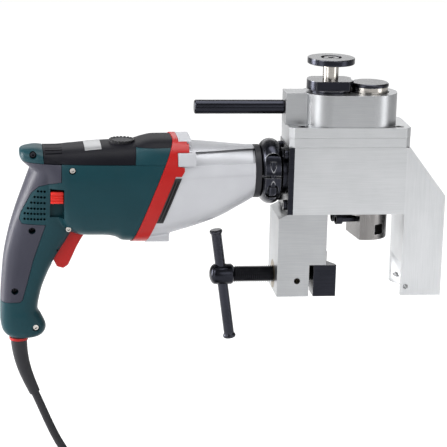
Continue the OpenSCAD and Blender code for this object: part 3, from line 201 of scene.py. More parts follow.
BODY = [  # along X: place, underside, top, half width, squareness
    (-332.6, 119, 124.5, 8, 2.2), (-331, 115.5, 126, 14, 2.4), (-326, 111, 127.3, 19, 2.6),
    (-318, 104, 128, 24, 2.8), (-309, 92, 127, 28, 3), (-298, 64, 127, 33, 3.2),
    (-286, 48, 127.8, 36.5, 3.4), (-272, 44.3, 129, 38, 3.4), (-252, 44, 130.6, 38.5, 3.4),
    (-243, 42.6, 131, 38.7, 3.4), (-236, 39, 131.2, 38.8, 3.4), (-226, 38.5, 132, 39, 3.4),
    (-216, 38.4, 135, 39.2, 3.4), (-206, 38.4, 136.9, 39.4, 3.4), (-168, 38.4, 137.2, 39.5, 3.4)]
HANDLE = [  # by height: level, back, front, half width, squareness
    (-59.5, -338, -320, 9, 2.2), (-57.5, -344, -312, 13.5, 2.4), (-49, -349.5, -307, 16.5, 2.6),
    (-38, -351, -311.5, 17, 2.6), (-31, -351, -315, 16.5, 2.6), (-15, -350.6, -312.5, 16.5, 2.6),
    (4, -349.4, -306, 17, 2.6), (20, -348, -298, 17.5, 2.6), (44, -343.6, -284, 20, 2.6),
    (67, -337, -274, 24, 2.8), (88, -329.5, -268, 28, 2.8), (108, -322, -266, 30, 2.8),
    (119, -317, -268, 29, 3)]
CASE = [  # gear case along X, as for the body
    (-228, 40, 131.5, 39, 3.2), (-192, 45.5, 131.3, 39, 3.2), (-180, 48.6, 131, 38, 3.1),
    (-168, 51.8, 130.6, 36, 3), (-158, 54.8, 130.1, 33.8, 2.9), (-148, 58.2, 129.6, 31.5, 2.8),
    (-138, 62.4, 129, 29.4, 2.6), (-129, 67.1, 128.4, 27.5, 2.4), (-119, 72.4, 128, 26.1, 2.2),
    (-110.2, 77.3, 127.7, 25.2, 2)]
GRIP_OUTLINE = [
    (-294, 116), (-294, 99.5), (-305, 97), (-315, 94), (-321.5, 87.5), (-327, 76.5), (-331.5, 67),
    (-332.7, 61), (-330.4, 57), (-308, 56), (-312.6, 42), (-319.7, 19.7), (-325, -2), (-329.5, -19),
    (-332, -21.6), (-346, -22.5), (-358, -21), (-358, 116)]
SEAM_Z = 116.0
COVER_X = -310.5
BAND_X, BAND_W, BAND_LEVEL, BAND_SLOPE = -208.0, 13.5, 90.0, 0.39
SEAM_GAP = 0.25


def slope_x(x, z):
    """X at height z of the sloping plane that passes x at the band's level."""
    return x + BAND_SLOPE * (z - BAND_LEVEL)


def eased(rows, count):
    """Rows at finer steps of their first value, by a monotone cubic through every row."""
    rows = np.array(rows, float)
    x = rows[:, 0]
    h = np.diff(x)
    d = np.diff(rows, axis=0) / h[:, None]
    m = np.zeros_like(rows)
    m[0], m[-1] = d[0], d[-1]
    for i in range(1, len(rows) - 1):
        same = d[i - 1] * d[i] > 0
        w1, w2 = 2 * h[i] + h[i - 1], h[i] + 2 * h[i - 1]
        with np.errstate(divide="ignore", invalid="ignore"):
            m[i] = np.where(same, (w1 + w2) / (w1 / d[i - 1] + w2 / d[i]), 0)
    out = []
    for t in np.linspace(x[0], x[-1], count):
        i = min(max(int(np.searchsorted(x, t)) - 1, 0), len(rows) - 2)
        s = (t - x[i]) / h[i]
        out.append((2 * s ** 3 - 3 * s ** 2 + 1) * rows[i] + (s ** 3 - 2 * s ** 2 + s) * h[i] * m[i]
                   + (-2 * s ** 3 + 3 * s ** 2) * rows[i + 1] + (s ** 3 - s ** 2) * h[i] * m[i + 1])
    return out


def loft(name, rows, count, sides, along):
    """Closed loft of rounded sections, along X (0) or by height (2)."""
    points = []
    for place, low, high, half, square in eased(rows, count):
        for k in range(sides):
            a = 2 * math.pi * (k + 0.5) / sides
            c, s = math.cos(a), math.sin(a)
            p = math.copysign(abs(c) ** (2 / square), c)
            q = math.copysign(abs(s) ** (2 / square), s)
            mid, reach = (low + high) / 2, (high - low) / 2
            if along == 0:
                points.append((place, half * p, mid + reach * q))
            else:
                points.append((mid + reach * p, half * q, place))
    return object_from(name, mesh_from(name, points, ring_faces(count, sides)))


def prism(name, outline, y0, y1):
    """Closed prism across Y from an outline in X and Z."""
    points = [(x, y, z) for y in (y0, y1) for x, z in outline]
    return object_from(name, mesh_from(name, points, ring_faces(2, len(outline))))


def combine(obj, other, operation, keep_other=False):
    """Boolean of two closed pieces, applied to the first."""
    step = obj.modifiers.new("step", "BOOLEAN")
    step.operation = operation
    step.object = other
    step.solver = "MANIFOLD"
    applied(obj)
    if not keep_other:
        bpy.data.objects.remove(other)
    return obj


def copy_of(obj, name):
    return object_from(name, obj.data.copy())


def grown(obj, by_mm):
    """Moves every point out along its normal."""
    mesh = obj.data
    co = np.zeros(len(mesh.vertices) * 3)
    no = np.zeros(len(mesh.vertices) * 3)
    mesh.vertices.foreach_get("co", co)
    mesh.vertex_normals.foreach_get("vector", no)
    mesh.vertices.foreach_set("co", co + no * by_mm * MM)
    mesh.update()
    return obj


def blended(obj, voxel_mm, rounds):
    """Even mesh over the whole form, with its inner corners rounded."""
    remesh = obj.modifiers.new("remesh", "REMESH")
    remesh.mode = "VOXEL"
    remesh.voxel_size = voxel_mm * MM
    ease = obj.modifiers.new("ease", "SMOOTH")
    ease.factor = 0.5
    ease.iterations = rounds
    return applied(obj)


# Cord route, as in the part's source, in millimetres

CORD_D = 8.0
FLOOR_Z = -228.0
LIE_Z = FLOOR_Z + CORD_D / 2 + 1.5
SLEEVE_TOP = np.array((-333.0, 0, -55.5))
SLEEVE_END = np.array((-317.5, 0, -117.0))
SLEEVE_DIR = np.array((0.41, 0, -0.912))
COIL_PITCH = CORD_D + 1
COIL_TURNS = 3
COIL_LAYERS = 4
COIL_IN = 34.5
COIL_OUT = COIL_IN + COIL_TURNS * COIL_PITCH
COIL_AT = (-180.0, -COIL_OUT)
COIL_START = np.array((COIL_AT[0] - CORD_D, 0, LIE_Z))
COIL_END = np.array((COIL_AT[0] + CORD_D, 0, LIE_Z + COIL_PITCH * (COIL_LAYERS - 1)))
PLUG_AT = np.array((COIL_END[0] + 72, 0, FLOOR_Z + 18.5))


def curve(a, leave, d, arrive, steps):
    """Cubic from a to d that leaves along leave and arrives along arrive."""
    a, leave, d, arrive = (np.array(v, float) for v in (a, leave, d, arrive))
    out = []
    for i in range(steps + 1):
        t = i / steps
        u = 1 - t
        out.append(u ** 3 * a + 3 * u * u * t * (a + leave) + 3 * u * t * t * (d - arrive) + t ** 3 * d)
    return out


def coil_point(t):
    layer = math.floor(min(t, COIL_TURNS * COIL_LAYERS - 0.001) / COIL_TURNS)
    u = t - layer * COIL_TURNS
    r = COIL_OUT - COIL_PITCH * u if layer % 2 == 0 else COIL_IN + COIL_PITCH * u
    z = LIE_Z
    for k in range(1, COIL_LAYERS):
        v = min(1, max(0, (t - COIL_TURNS * k + 0.25) * 2))
        z += COIL_PITCH * v * v * (3 - 2 * v)
    a = math.pi / 2 - 2 * math.pi * t
    return np.array((COIL_AT[0] + r * math.cos(a), COIL_AT[1] + r * math.sin(a), z))


COIL_STEPS = 40
lead = curve(SLEEVE_END, 60 * SLEEVE_DIR, COIL_START, (95, 0, 0), 24)
turns = [coil_point(i / COIL_STEPS) for i in range(COIL_TURNS * COIL_LAYERS * COIL_STEPS + 1)]
tail = curve(COIL_END, (30, 0, 0), PLUG_AT, (30, 0, 0), 16)
cord_path = lead + turns + tail


# Materials

def new_material(name):
    material = bpy.data.materials.new(name)
    material.use_nodes = True
    tree = material.node_tree
    tree.nodes.clear()
    shader = add(tree, "ShaderNodeBsdfPrincipled")
    add(tree, "ShaderNodeOutputMaterial", Surface=shader.outputs["BSDF"])
    where = add(tree, "ShaderNodeTexCoord").outputs["Object"]
    return material, tree, shader, where


def noise(tree, where, size_mm, detail):
    """Noise with forms of about one size."""
    scale = 1 / (size_mm * MM)
    return add(tree, "ShaderNodeTexNoise", Vector=where, Scale=scale, Detail=detail).outputs["Fac"]


def mixed_colours(tree, factor, base, light):
    """Colour between two, by a factor."""
    mix = add(tree, "ShaderNodeMix", {"data_type": "RGBA"}, Factor=factor)
    mix.inputs[6].default_value = linear(base)
    mix.inputs[7].default_value = linear(light)
    return mix.outputs[2]


def worn_and_glinting_edges(tree, shader, colour, edge_colour, radius_mm, amount):
    """Base colour that turns to another one along rounded edges: bare metal from rubbing, and where the
    amount is high also a painted highlight.
    """
    edge = add(tree, "ShaderNodeBevel", {"samples": 4}, Radius=radius_mm * MM)
    flat = add(tree, "ShaderNodeNewGeometry")
    off = add(tree, "ShaderNodeVectorMath", {"operation": "DISTANCE"},
              i0=edge.outputs["Normal"], i1=flat.outputs["Normal"])
    edge_wear_and_glint = add(tree, "ShaderNodeMath", {"operation": "MULTIPLY"}, i0=off.outputs["Value"], i1=amount)
    edge_wear_and_glint_tint = add(tree, "ShaderNodeMix", {"data_type": "RGBA", "clamp_factor": True}, Factor=edge_wear_and_glint.outputs[0])
    tree.links.new(colour, edge_wear_and_glint_tint.inputs[6])
    edge_wear_and_glint_tint.inputs[7].default_value = linear(edge_colour)
    tree.links.new(edge_wear_and_glint_tint.outputs[2], shader.inputs["Base Color"])


def surface(tree, shader, shine, low, high, relief, strength, depth_mm):
    """Roughness that follows one texture, and relief that follows another."""
    spread = add(tree, "ShaderNodeMapRange", Value=shine, To_Min=low, To_Max=high)
    tree.links.new(spread.outputs["Result"], shader.inputs["Roughness"])
    bump = add(tree, "ShaderNodeBump", Height=relief, Strength=strength, Distance=depth_mm * MM)
    tree.links.new(bump.outputs["Normal"], shader.inputs["Normal"])


RELIEF = 0.2
SHADE_MM, CLOUD_MM = 45, 30
BARE_METAL_AND_GLINT = "#dcdde0"


def moulded(name, base, light, roughness, grain_mm, specular=0.4, metallic=0.0):
    """Moulded or cast surface: fine grain from the mould, slow changes of tone, and edges paled by rubbing.
    """
    material, tree, shader, where = new_material(name)
    slow = noise(tree, where, SHADE_MM, 3.0)
    worn_and_glinting_edges(tree, shader, mixed_colours(tree, slow, base, light), light, 0.5, slow)
    fine = noise(tree, where, grain_mm, 2.0)
    surface(tree, shader, fine, roughness - 0.06, roughness + 0.06, fine, RELIEF, 0.1)
    shader.inputs["Specular IOR Level"].default_value = specular
    shader.inputs["Metallic"].default_value = metallic
    return material


def metal(name, base, light, roughness, line_mm, along, wear_and_glint=0.5):
    """Machined metal: fine tool lines along one axis, slow cloudy changes of tone, and brighter edges: bare
    metal from rubbing, with a painted highlight where the edge amount is high.
    """
    material, tree, shader, where = new_material(name)
    stretch = [1 / (line_mm * MM)] * 3
    stretch[along] = 1 / (60 * line_mm * MM)
    turned = add(tree, "ShaderNodeMapping", Vector=where, Scale=stretch).outputs["Vector"]
    lines = add(tree, "ShaderNodeTexNoise", Vector=turned, Scale=1.0, Detail=2.0).outputs["Fac"]
    slow = noise(tree, where, CLOUD_MM, 2.0)
    share = add(tree, "ShaderNodeMath", {"operation": "MULTIPLY"}, i0=lines, i1=0.55)
    tone = add(tree, "ShaderNodeMath", {"operation": "MULTIPLY_ADD"}, i0=slow, i1=0.45, i2=share.outputs[0])
    tone = tone.outputs[0]
    worn_and_glinting_edges(tree, shader, mixed_colours(tree, tone, base, light), BARE_METAL_AND_GLINT, 0.6, wear_and_glint)
    surface(tree, shader, tone, roughness + 0.07, roughness - 0.07, lines, RELIEF, 0.05)
    shader.inputs["Metallic"].default_value = 1.0
    return material


# Milled aluminium of the head: cool light grey with fine cutter lines along the plates
milled = metal("milled_aluminium", "#9a9c9e", "#bebfc1", 0.34, 0.4, 0, wear_and_glint=0.2)
# The same metal on the feed housing and the left leg, a little darker: painted shade
milled_painted_shade = metal("milled_aluminium_painted_shade", "#87898b", "#a9aaac", 0.35, 0.4, 0, wear_and_glint=0.2)
# The same metal on the right leg, milled up and down, and a little lighter: painted light
milled_up_painted_light = metal("milled_aluminium_upright_painted_light", "#a0a2a4", "#c2c3c5", 0.34, 0.4, 2, wear_and_glint=0.2)
# Oiled blackened steel: near black with a satin shine and a little bare metal at the edges
blackened = metal("blackened_steel", "#17181c", "#2c2d34", 0.26, 0.5, 0, wear_and_glint=0.1)
# The same steel with stronger pale edges: partly bare metal where hands and tools rub it, partly a painted
# highlight along the edges of the collars, the knob, the cap and the bar
rubbed_and_glinting_black = metal("blackened_steel_rubbed_and_glinting", "#1b1c21", "#303139", 0.26, 0.5, 0, wear_and_glint=0.4)
# Ground steel of the shafts, the sleeve and the bright screws: sharp reflections
ground = metal("ground_steel", "#8f8a84", "#c6c2bc", 0.2, 0.3, 0)
# Hardened steel of the cutter: darker than the shafts
hardened = metal("hardened_steel", "#5f5d5c", "#878584", 0.28, 0.35, 2, wear_and_glint=0.5)
# Turned bronze bushes: dull brown gold
bronze = metal("turned_bronze", "#5d5443", "#7c705b", 0.4, 0.4, 0, wear_and_glint=0.1)
# Die-cast gear case under silver lacquer: soft sheen over a fine grain
cast = moulded("cast_lacquered_aluminium", "#999a9e", "#aeafb3", 0.52, 0.8, metallic=0.6)
# Housing of glass-filled green nylon: deep green with a satin mould texture
green = moulded("moulded_green_nylon", "#0a272d", "#0f3138", 0.38, 0.35, specular=0.12)
# Soft grip moulded over the handle: matt violet grey
soft = moulded("soft_grip_rubber", "#1f1f2a", "#292935", 0.46, 0.4, specular=0.25)
# Top cover of dark grey nylon
dark_cover = moulded("dark_grey_nylon", "#08080c", "#0f0f15", 0.46, 0.35, specular=0.06)
# Red nylon of the direction slider, lighter than the rest: painted light
red_painted_light = moulded("red_nylon_painted_light", "#b01f18", "#c02a22", 0.32, 0.35, specular=0.2)
# Red nylon of the band, the trigger and the sleeve's ring: smooth and a little glossy
red = moulded("red_nylon", "#810b0a", "#911412", 0.32, 0.35, specular=0.2)
# Black nylon of the vents, the fan and the dial
black = moulded("black_nylon", "#0f0f11", "#18181b", 0.42, 0.35)
# Black rubber of the nose ring, the cord and the plug
rubber = moulded("black_rubber", "#111115", "#1b1b20", 0.5, 0.4, specular=0.25)
# Motor iron with copper windings
copper = metal("motor_iron_and_copper", "#7a4a2a", "#a9683c", 0.45, 0.6, 1, wear_and_glint=0.1)

finishes = {
    "machined_aluminium": milled, "blackened_steel": blackened, "bright_steel": ground, "bronze": bronze,
    "green_plastic": green, "soft_grip": soft, "grey_plastic": dark_cover, "red_plastic": red,
    "cast_case": cast, "black_plastic": black, "black_rubber": rubber, "motor_iron": copper,
    "cord_rubber": rubber,
}
slot_of = {s["node"]: s["material_slot"] for s in frame["record"]["subparts"]}
for name, obj in nodes.items():
    obj.data.materials.clear()
    obj.data.materials.append(finishes[slot_of[name]])
    obj.data.shade_smooth()
    obj.data.set_sharp_from_angle(angle=math.radians(30))

# Drill housing, cut from one blended form along the same lines as the solids

BACK, FRONT, BELOW, ABOVE, ASIDE = -420, 0, -130, 200, 80


def rod(axis, r, ends, at, sides=64):
    """Round cutter along one axis, between two places on it."""
    others = [k for k in range(3) if k != axis]
    points = []
    for end in ends:
        for k in range(sides):
            p = [0, 0, 0]
            p[axis] = end
            p[others[0]] = at[0] + r * math.cos(2 * math.pi * k / sides)
            p[others[1]] = at[1] + r * math.sin(2 * math.pi * k / sides)
            points.append(p)
    return object_from("rod", mesh_from("rod", points, ring_faces(2, sides)))


def block(x, y, z):
    return prism("block", [(x[0], z[0]), (x[1], z[0]), (x[1], z[1]), (x[0], z[1])], *y)


def together(pieces):
    """Union of closed pieces."""
    first = pieces[0]
    for other in pieces[1:]:
        combine(first, other, "UNION")
    return first


def left_of(x):
    """Room to the left of the sloping plane through x."""
    low, high = slope_x(x, BELOW), slope_x(x, ABOVE)
    return prism("left", [(BACK, BELOW), (low, BELOW), (high, ABOVE), (BACK, ABOVE)], -ASIDE, ASIDE)


def right_of(x):
    """Room to the right of the same plane."""
    low, high = slope_x(x, BELOW), slope_x(x, ABOVE)
    return prism("right", [(low, BELOW), (FRONT, BELOW), (FRONT, ABOVE), (high, ABOVE)], -ASIDE, ASIDE)


def both_sides(inner, outer):
    """Y ranges of the near and the far side."""
    return (-outer, -inner), (inner, outer)


def part_of(form, name, regions, cuts=()):
    """Part of a form inside every region and outside every cut."""
    piece = copy_of(form, name)
    for region in regions:
        combine(piece, region, "INTERSECT")
    for cutter, keep in cuts:
        combine(piece, cutter, "DIFFERENCE", keep)
    return piece


TRIGGER_AT, TRIGGER_TURN = (-284.0, 27.0), math.radians(30)
MOTOR_AXIS, DRIVE_AXIS, MID_AXIS = (0, 84.0), (0, 102.5), (17.73, 93.25)
CORD_X, GRIP_WALL, BAND_RISE = -333, 2.5, 0.8
SELECTOR_X, SELECTOR_ROOM_R, SELECTOR_FLOOR = -236, 12.3, 124.7


def turned_outline(corners):
    """Outline beside the trigger, in its own turned axes, as X and Z."""
    c, s = math.cos(TRIGGER_TURN), math.sin(TRIGGER_TURN)
    return [(TRIGGER_AT[0] + u * c + v * s, TRIGGER_AT[1] - u * s + v * c) for u, v in corners]


STEPS, ROUND = 130, 96
form = combine(loft("housing_form", BODY, STEPS, ROUND, 0),
               loft("handle_form", HANDLE, STEPS, ROUND, 2), "UNION")
blended(form, voxel_mm=1.1, rounds=6)
under_grip = loft("under_grip", [(z, back + GRIP_WALL, front - GRIP_WALL, half - GRIP_WALL, square)
                                 for z, back, front, half, square in HANDLE], 80, 72, 2)
MOTOR_ROOMS = [  # radius and X range of the stator, the fan, the rear bearing and the shaft's end
    (34.15, (-284.2, -212.2)), (32.5, (-214.2, -187.2)), (11.15, (-300.2, -282.2)), (6, (-304.2, -300))]
INNER_BOXES = [  # X, Y and Z ranges of the brush holders, the switch and its wires
    ((-278.2, -268.2), (-36, 36), (79, 89)), ((-317, -296), (-12.5, 12.5), (27, 61)),
    ((CORD_X, -316.9), (-5, 5), (27, 37))]
CORD_ROOMS = [(5, (-56, 32)), (8.55, (-65.5, -55.5))]  # radius and Z range of the cord and its sleeve
TRIGGER_ROOM, TRIGGER_HALF = [(-18, -21), (20, -21), (20, 22), (-18, 22)], 8.4
rooms = together([rod(0, r, x, MOTOR_AXIS) for r, x in MOTOR_ROOMS] + [block(*box) for box in INNER_BOXES]
                 + [rod(2, r, z, (CORD_X, 0)) for r, z in CORD_ROOMS]
                 + [prism("trigger_room", turned_outline(TRIGGER_ROOM), -TRIGGER_HALF, TRIGGER_HALF)])
slider_room = block((-304.5, -291.5), (-60, -20), (64, 92.8))
HOUSING_SCREWS = [  # X, Z and the Y of the surface
    (-284, 110.5, -34.4), (-287, 52, -25.5), (-317, -47.5, -15), (-321, 50, -16), (-337, -10.5, -13),
    (-320.2, 122.6, -20)]
SCREW_ROOM_R, SCREW_ROOM_DEPTH = 3.4, 8
screw_rooms = together([rod(1, SCREW_ROOM_R, (-70, y + SCREW_ROOM_DEPTH), (x, z), 32)
                        for x, z, y in HOUSING_SCREWS])
INSERT = [(-225.6, SEAM_Z + 0.3), (-180, SEAM_Z + 0.3), (-180, 131.5), (-224.4, 130.2)]


def insert_room(y0, y1, gap):
    """Room for the green panels beside the top cover's raised end."""
    x0, x1, z0, z1 = INSERT[0][0] - gap, -150, SEAM_Z - 2, INSERT[3][1] + gap
    return prism("insert_room", [(x0, z0), (x1, z0), (x1, z1 + 1.3), (x0 + 1.2, z1)], y0, y1)


def grip_room():
    """Room that the soft grip fills."""
    room = prism("grip_room", GRIP_OUTLINE, -ASIDE, ASIDE)
    return combine(room, under_grip, "DIFFERENCE", True)


def cover_room(edge=0):
    """Room that the top cover fills, drawn in by an edge if asked."""
    x, z = COVER_X + edge, SEAM_Z + edge
    return prism("cover_room", [(x, z), (FRONT, z), (FRONT, ABOVE), (x - 5, ABOVE)], -ASIDE, ASIDE)


SHELL_GAP, EDGE = 0.12, 0.45
near_side, far_side = both_sides(SHELL_GAP, ASIDE)
near = part_of(form, "near_housing",
               [block((BACK, FRONT), near_side, (BELOW, ABOVE)), left_of(BAND_X - SEAM_GAP)],
               [(cover_room(), False), (grip_room(), False), (rooms, True), (slider_room, False),
                (screw_rooms, True)])
far = part_of(form, "far_housing",
              [block((BACK, FRONT), far_side, (BELOW, ABOVE)), left_of(BAND_X - SEAM_GAP)],
              [(cover_room(), False), (grip_room(), False), (rooms, True)])


def inset(outline, by):
    """Outline with every side moved inwards."""
    n = len(outline)
    following = outline[1:] + outline[:1]
    turn = sum(a[0] * b[1] - b[0] * a[1] for a, b in zip(outline, following))
    side = math.copysign(by, turn)
    out = []
    for i in range(n):
        a, b, c = (Vector(outline[(i + k) % n]) for k in (-1, 0, 1))
        p, q = (b - a).normalized(), (c - b).normalized()
        normal = Vector((-p.y - q.y, p.x + q.x)).normalized()
        out.append(tuple(b + normal * side / max(0.4, normal.dot(Vector((-p.y, p.x))))))
    return out


grip = part_of(form, "soft_grip",
               [prism("grip_in", inset(GRIP_OUTLINE, EDGE), -ASIDE, ASIDE), left_of(BAND_X)],
               [(under_grip, True), (screw_rooms, True)])
INSERT_Y, INSERT_GAP = 20, 0.4
selector_room = rod(2, SELECTOR_ROOM_R, (SELECTOR_FLOOR, ABOVE), (SELECTOR_X, 0))
cover = part_of(form, "top_cover_skin", [cover_room(EDGE), left_of(BAND_X - SEAM_GAP)],
                [(rooms, True), (selector_room, False)]
                + [(insert_room(*y, INSERT_GAP), False) for y in both_sides(INSERT_Y, ASIDE)])
COVER_SLOTS, SLOT_X, SLOT_HALF, SLOT_FLOOR = (8, 15, 21), (-309, -293), 0.8, 123
for slot_y in COVER_SLOTS:
    for y in both_sides(slot_y - SLOT_HALF, slot_y + SLOT_HALF):
        combine(cover, block(SLOT_X, y, (SLOT_FLOOR, 140)), "DIFFERENCE")
plate = grown(copy_of(form, "blank_plate"), 0.25)
combine(plate, block((-272, -256.5), (-21, 21), (124.5, 140)), "INTERSECT")
panels = [part_of(form, "side_panel_%d" % k,
                  [prism("panel_in", INSERT, *y), left_of(BAND_X - SEAM_GAP)], [(rooms, True)])
          for k, y in enumerate(both_sides(INSERT_Y + INSERT_GAP, ASIDE))]
raised = grown(copy_of(form, "raised_form"), BAND_RISE)
band = part_of(raised, "band_skin", [left_of(BAND_X + BAND_W), right_of(BAND_X)], [(rooms, True)])
LUG = [(-190, 106), (-182.6, 106), (-179.9, 110.8), (-180, 114.3), (-186, 115.2)]
SHOULDER = [(-184, 127.6), (-175.6, 127.6), (-175.2, 134), (-180, 134)]
for outline, reach in ((LUG, 30), (SHOULDER, 16.6)):
    for y in both_sides(reach, ASIDE):
        combine(band, part_of(raised, "band_end", [prism("band_end_in", outline, *y)]), "UNION")
NOTCH_X, NOTCH_Z, NOTCH_GAP = -186.4, (115.2, 127.6), 0.4
for y in both_sides(28, ASIDE):
    combine(band, block((NOTCH_X, -150), y, NOTCH_Z), "DIFFERENCE")
PAD_X, PAD_Y, PAD_Z = -184.7, 22.0, 133.5
combine(band, block((PAD_X, -150), (-PAD_Y, PAD_Y), (PAD_Z, 150)), "DIFFERENCE")

# Gear case: cast form with a pocket and a rib along each side, bosses in the band, and room for the gears

case_form = together([loft("case_form", CASE, 110, 96, 0), block((-230, -191.5), (-21, 21), (38.4, 60)),
                      block((-230, -172), (-16, 16), (120, 136.5))])
blended(case_form, voxel_mm=0.9, rounds=4)
CASE_ROOMS = [  # radius, X range and axis of the fan, the bearings, the gears and the shafts
    (32.5, (-214.2, -198.2), MOTOR_AXIS), (11.15, (-208.2, -188.2), MOTOR_AXIS),
    (8, (-196.2, -173.2), MOTOR_AXIS), (16.6, (-185.2, -173.2), MID_AXIS),
    (8.15, (-195.2, -148.2), MID_AXIS), (5, (-158.2, -146.2), MID_AXIS),
    (16.6, (-169.2, -157.2), DRIVE_AXIS), (17.15, (-146.2, -138.2), DRIVE_AXIS),
    (17.15, (-118.2, -109), DRIVE_AXIS), (9, (-168.2, -80), DRIVE_AXIS)]
case_rooms = together([rod(0, *room) for room in CASE_ROOMS])
POCKET = [(-168.5, 115.2), (-105, 114.6), (-105, 126.2), (-168.5, 126.2)]
RIB = [(-184, 104.6), (-111, 104.6), (-111, 114.6), (-184, 115.2)]
POCKET_DEPTH, RIB_RISE, BOSS_RISE = 2.2, 0.7, 0.1
BAND_END = BAND_X + BAND_W
pocket = prism("pocket", POCKET, -60, 60)
combine(pocket, grown(copy_of(case_form, "pocket_floor"), -POCKET_DEPTH), "DIFFERENCE")
rib = combine(grown(copy_of(case_form, "rib"), RIB_RISE), prism("rib_in", RIB, -60, 60), "INTERSECT")
VENT_X, VENT_W, VENT_FLOOR, VENT_Z = (-260, -100), 6.5, 35, (61, 104)
vent_rooms = together([block(VENT_X, y, VENT_Z) for y in both_sides(VENT_FLOOR, 60)])
vent_rooms = combine(vent_rooms, left_of(BAND_END + VENT_W), "INTERSECT")
case = copy_of(case_form, "gear_case_skin")
combine(case, pocket, "DIFFERENCE")
combine(case, rib, "UNION")
combine(case, right_of(BAND_END + SEAM_GAP), "INTERSECT")
for y in both_sides(29, 60):
    boss = grown(copy_of(raised, "boss"), BOSS_RISE)
    boss_z = (NOTCH_Z[0] + NOTCH_GAP, NOTCH_Z[1] - NOTCH_GAP)
    combine(boss, block((NOTCH_X + NOTCH_GAP, -169.5), y, boss_z), "INTERSECT")
    combine(case, boss, "UNION")
pad = copy_of(raised, "pad")
pad_y = PAD_Y - SEAM_GAP
combine(pad, block((PAD_X + SEAM_GAP, -172.5), (-pad_y, pad_y), (PAD_Z + SEAM_GAP, 150)), "INTERSECT")
combine(case, pad, "UNION")
combine(case, rod(0, 21.5, (-112, -85.9), DRIVE_AXIS), "UNION")
combine(case, vent_rooms, "DIFFERENCE", True)
combine(case, case_rooms, "DIFFERENCE")
vents = grown(copy_of(form, "air_vent_skin"), 0.3)
combine(vents, right_of(BAND_END + SEAM_GAP), "INTERSECT")
combine(vents, vent_rooms, "INTERSECT")
VENT_SLOT_X, VENT_SLOT_W, VENT_SLOT_PITCH = 1.3, 1.4, 2.5
for k in range(2):
    slot_x = BAND_END + VENT_SLOT_X + VENT_SLOT_PITCH * k
    slot_in = combine(right_of(slot_x), left_of(slot_x + VENT_SLOT_W), "INTERSECT")
    for y in both_sides(37.4, 60):
        slot = combine(block(VENT_X, y, (63, 102)), slot_in, "INTERSECT", True)
        combine(vents, slot, "DIFFERENCE")
    bpy.data.objects.remove(slot_in)

# Repeated details, built with geometry nodes

def node_group(name, sizes):
    """Geometry node tree with a geometry input and one named input for each size."""
    tree = bpy.data.node_groups.new(name, "GeometryNodeTree")
    tree.interface.new_socket("Geometry", in_out="INPUT", socket_type="NodeSocketGeometry")
    for size, value in sizes.items():
        kind = "NodeSocketInt" if isinstance(value, int) else "NodeSocketFloat"
        tree.interface.new_socket(size, in_out="INPUT", socket_type=kind)
    tree.interface.new_socket("Geometry", in_out="OUTPUT", socket_type="NodeSocketGeometry")
    return tree, add(tree, "NodeGroupInput").outputs


def grown_from(name, tree, sizes, result, material, points_mm=((0, 0, 0),)):
    """Plain mesh made by a tree over points: realised, given its material and converted."""
    whole = add(tree, "GeometryNodeRealizeInstances", Geometry=result)
    dressed = add(tree, "GeometryNodeSetMaterial", Geometry=whole.outputs[0], Material=material)
    add(tree, "NodeGroupOutput", Geometry=dressed.outputs[0])
    mesh = bpy.data.meshes.new(name)
    mesh.from_pydata([Vector(p) * MM for p in points_mm], [], [])
    obj = object_from(name, mesh)
    modifier = obj.modifiers.new(name, "NODES")
    modifier.node_group = tree
    for item in tree.interface.items_tree:
        if item.in_out == "INPUT" and item.name in sizes:
            modifier[item.identifier] = sizes[item.name]
    applied(obj)
    return outwards(obj)


def placed(obj, matrix):
    """Moves a new piece's points, so that the piece itself stays at the origin."""
    obj.data.transform(matrix)
    return obj


# Perforations over the switch: short rods that are cut out of both sides of the housing

HOLE_X, HOLE_Y, HOLE_PITCH = -309.6, 30, 3.05
HOLE_ROWS = ((89.6, 3), (83.9, 4), (78.2, 5), (72.4, 6), (67.2, 7), (61.8, 7))  # height and count
hole_points = [(HOLE_X - HOLE_PITCH * k, y, z)
               for y in (-HOLE_Y, HOLE_Y) for z, count in HOLE_ROWS for k in range(count)]
sizes = {"Hole Radius": 1.2 * MM, "Hole Depth": 34 * MM}
tree, given = node_group("perforations", sizes)
hole = add(tree, "GeometryNodeMeshCylinder", Vertices=16, Radius=given["Hole Radius"],
           Depth=given["Hole Depth"])
spots = add(tree, "GeometryNodeInstanceOnPoints", Points=given["Geometry"], Instance=hole.outputs["Mesh"],
            Rotation=(math.pi / 2, 0, 0))
perforations = grown_from("perforations", tree, sizes, spots.outputs[0], green, hole_points)
combine(near, perforations, "DIFFERENCE", True)
combine(far, perforations, "DIFFERENCE")

# Housing screws: pan heads with a hexagon socket, sunk in the housing's recesses

SCREW_HEAD = 3


def screw_heads(name, points, material):
    """Heads with a hexagon socket, turned to face the near side."""
    sizes = {"Head Radius": 3.1 * MM, "Crown Radius": 2.5 * MM, "Head Height": SCREW_HEAD * MM,
             "Socket Radius": 1.6 * MM, "Socket Depth": 3.6 * MM}
    tree, given = node_group(name, sizes)
    head = add(tree, "GeometryNodeMeshCone", Vertices=40, Radius_Bottom=given["Head Radius"],
               Radius_Top=given["Crown Radius"], Depth=given["Head Height"])
    socket = add(tree, "GeometryNodeMeshCylinder", Vertices=6, Radius=given["Socket Radius"],
                 Depth=given["Socket Depth"])
    socket_at = add(tree, "GeometryNodeTransform", Geometry=socket.outputs["Mesh"],
                    Translation=add(tree, "ShaderNodeCombineXYZ", Z=given["Head Height"]).outputs[0])
    cut_head = add(tree, "GeometryNodeMeshBoolean", {"operation": "DIFFERENCE"})
    tree.links.new(head.outputs["Mesh"], cut_head.inputs["Mesh 1"])
    tree.links.new(socket_at.outputs[0], cut_head.inputs["Mesh 2"])
    spots = add(tree, "GeometryNodeInstanceOnPoints", Points=given["Geometry"],
                Instance=cut_head.outputs["Mesh"], Rotation=(math.pi / 2, 0, 0))
    return grown_from(name, tree, sizes, spots.outputs[0], material, points)


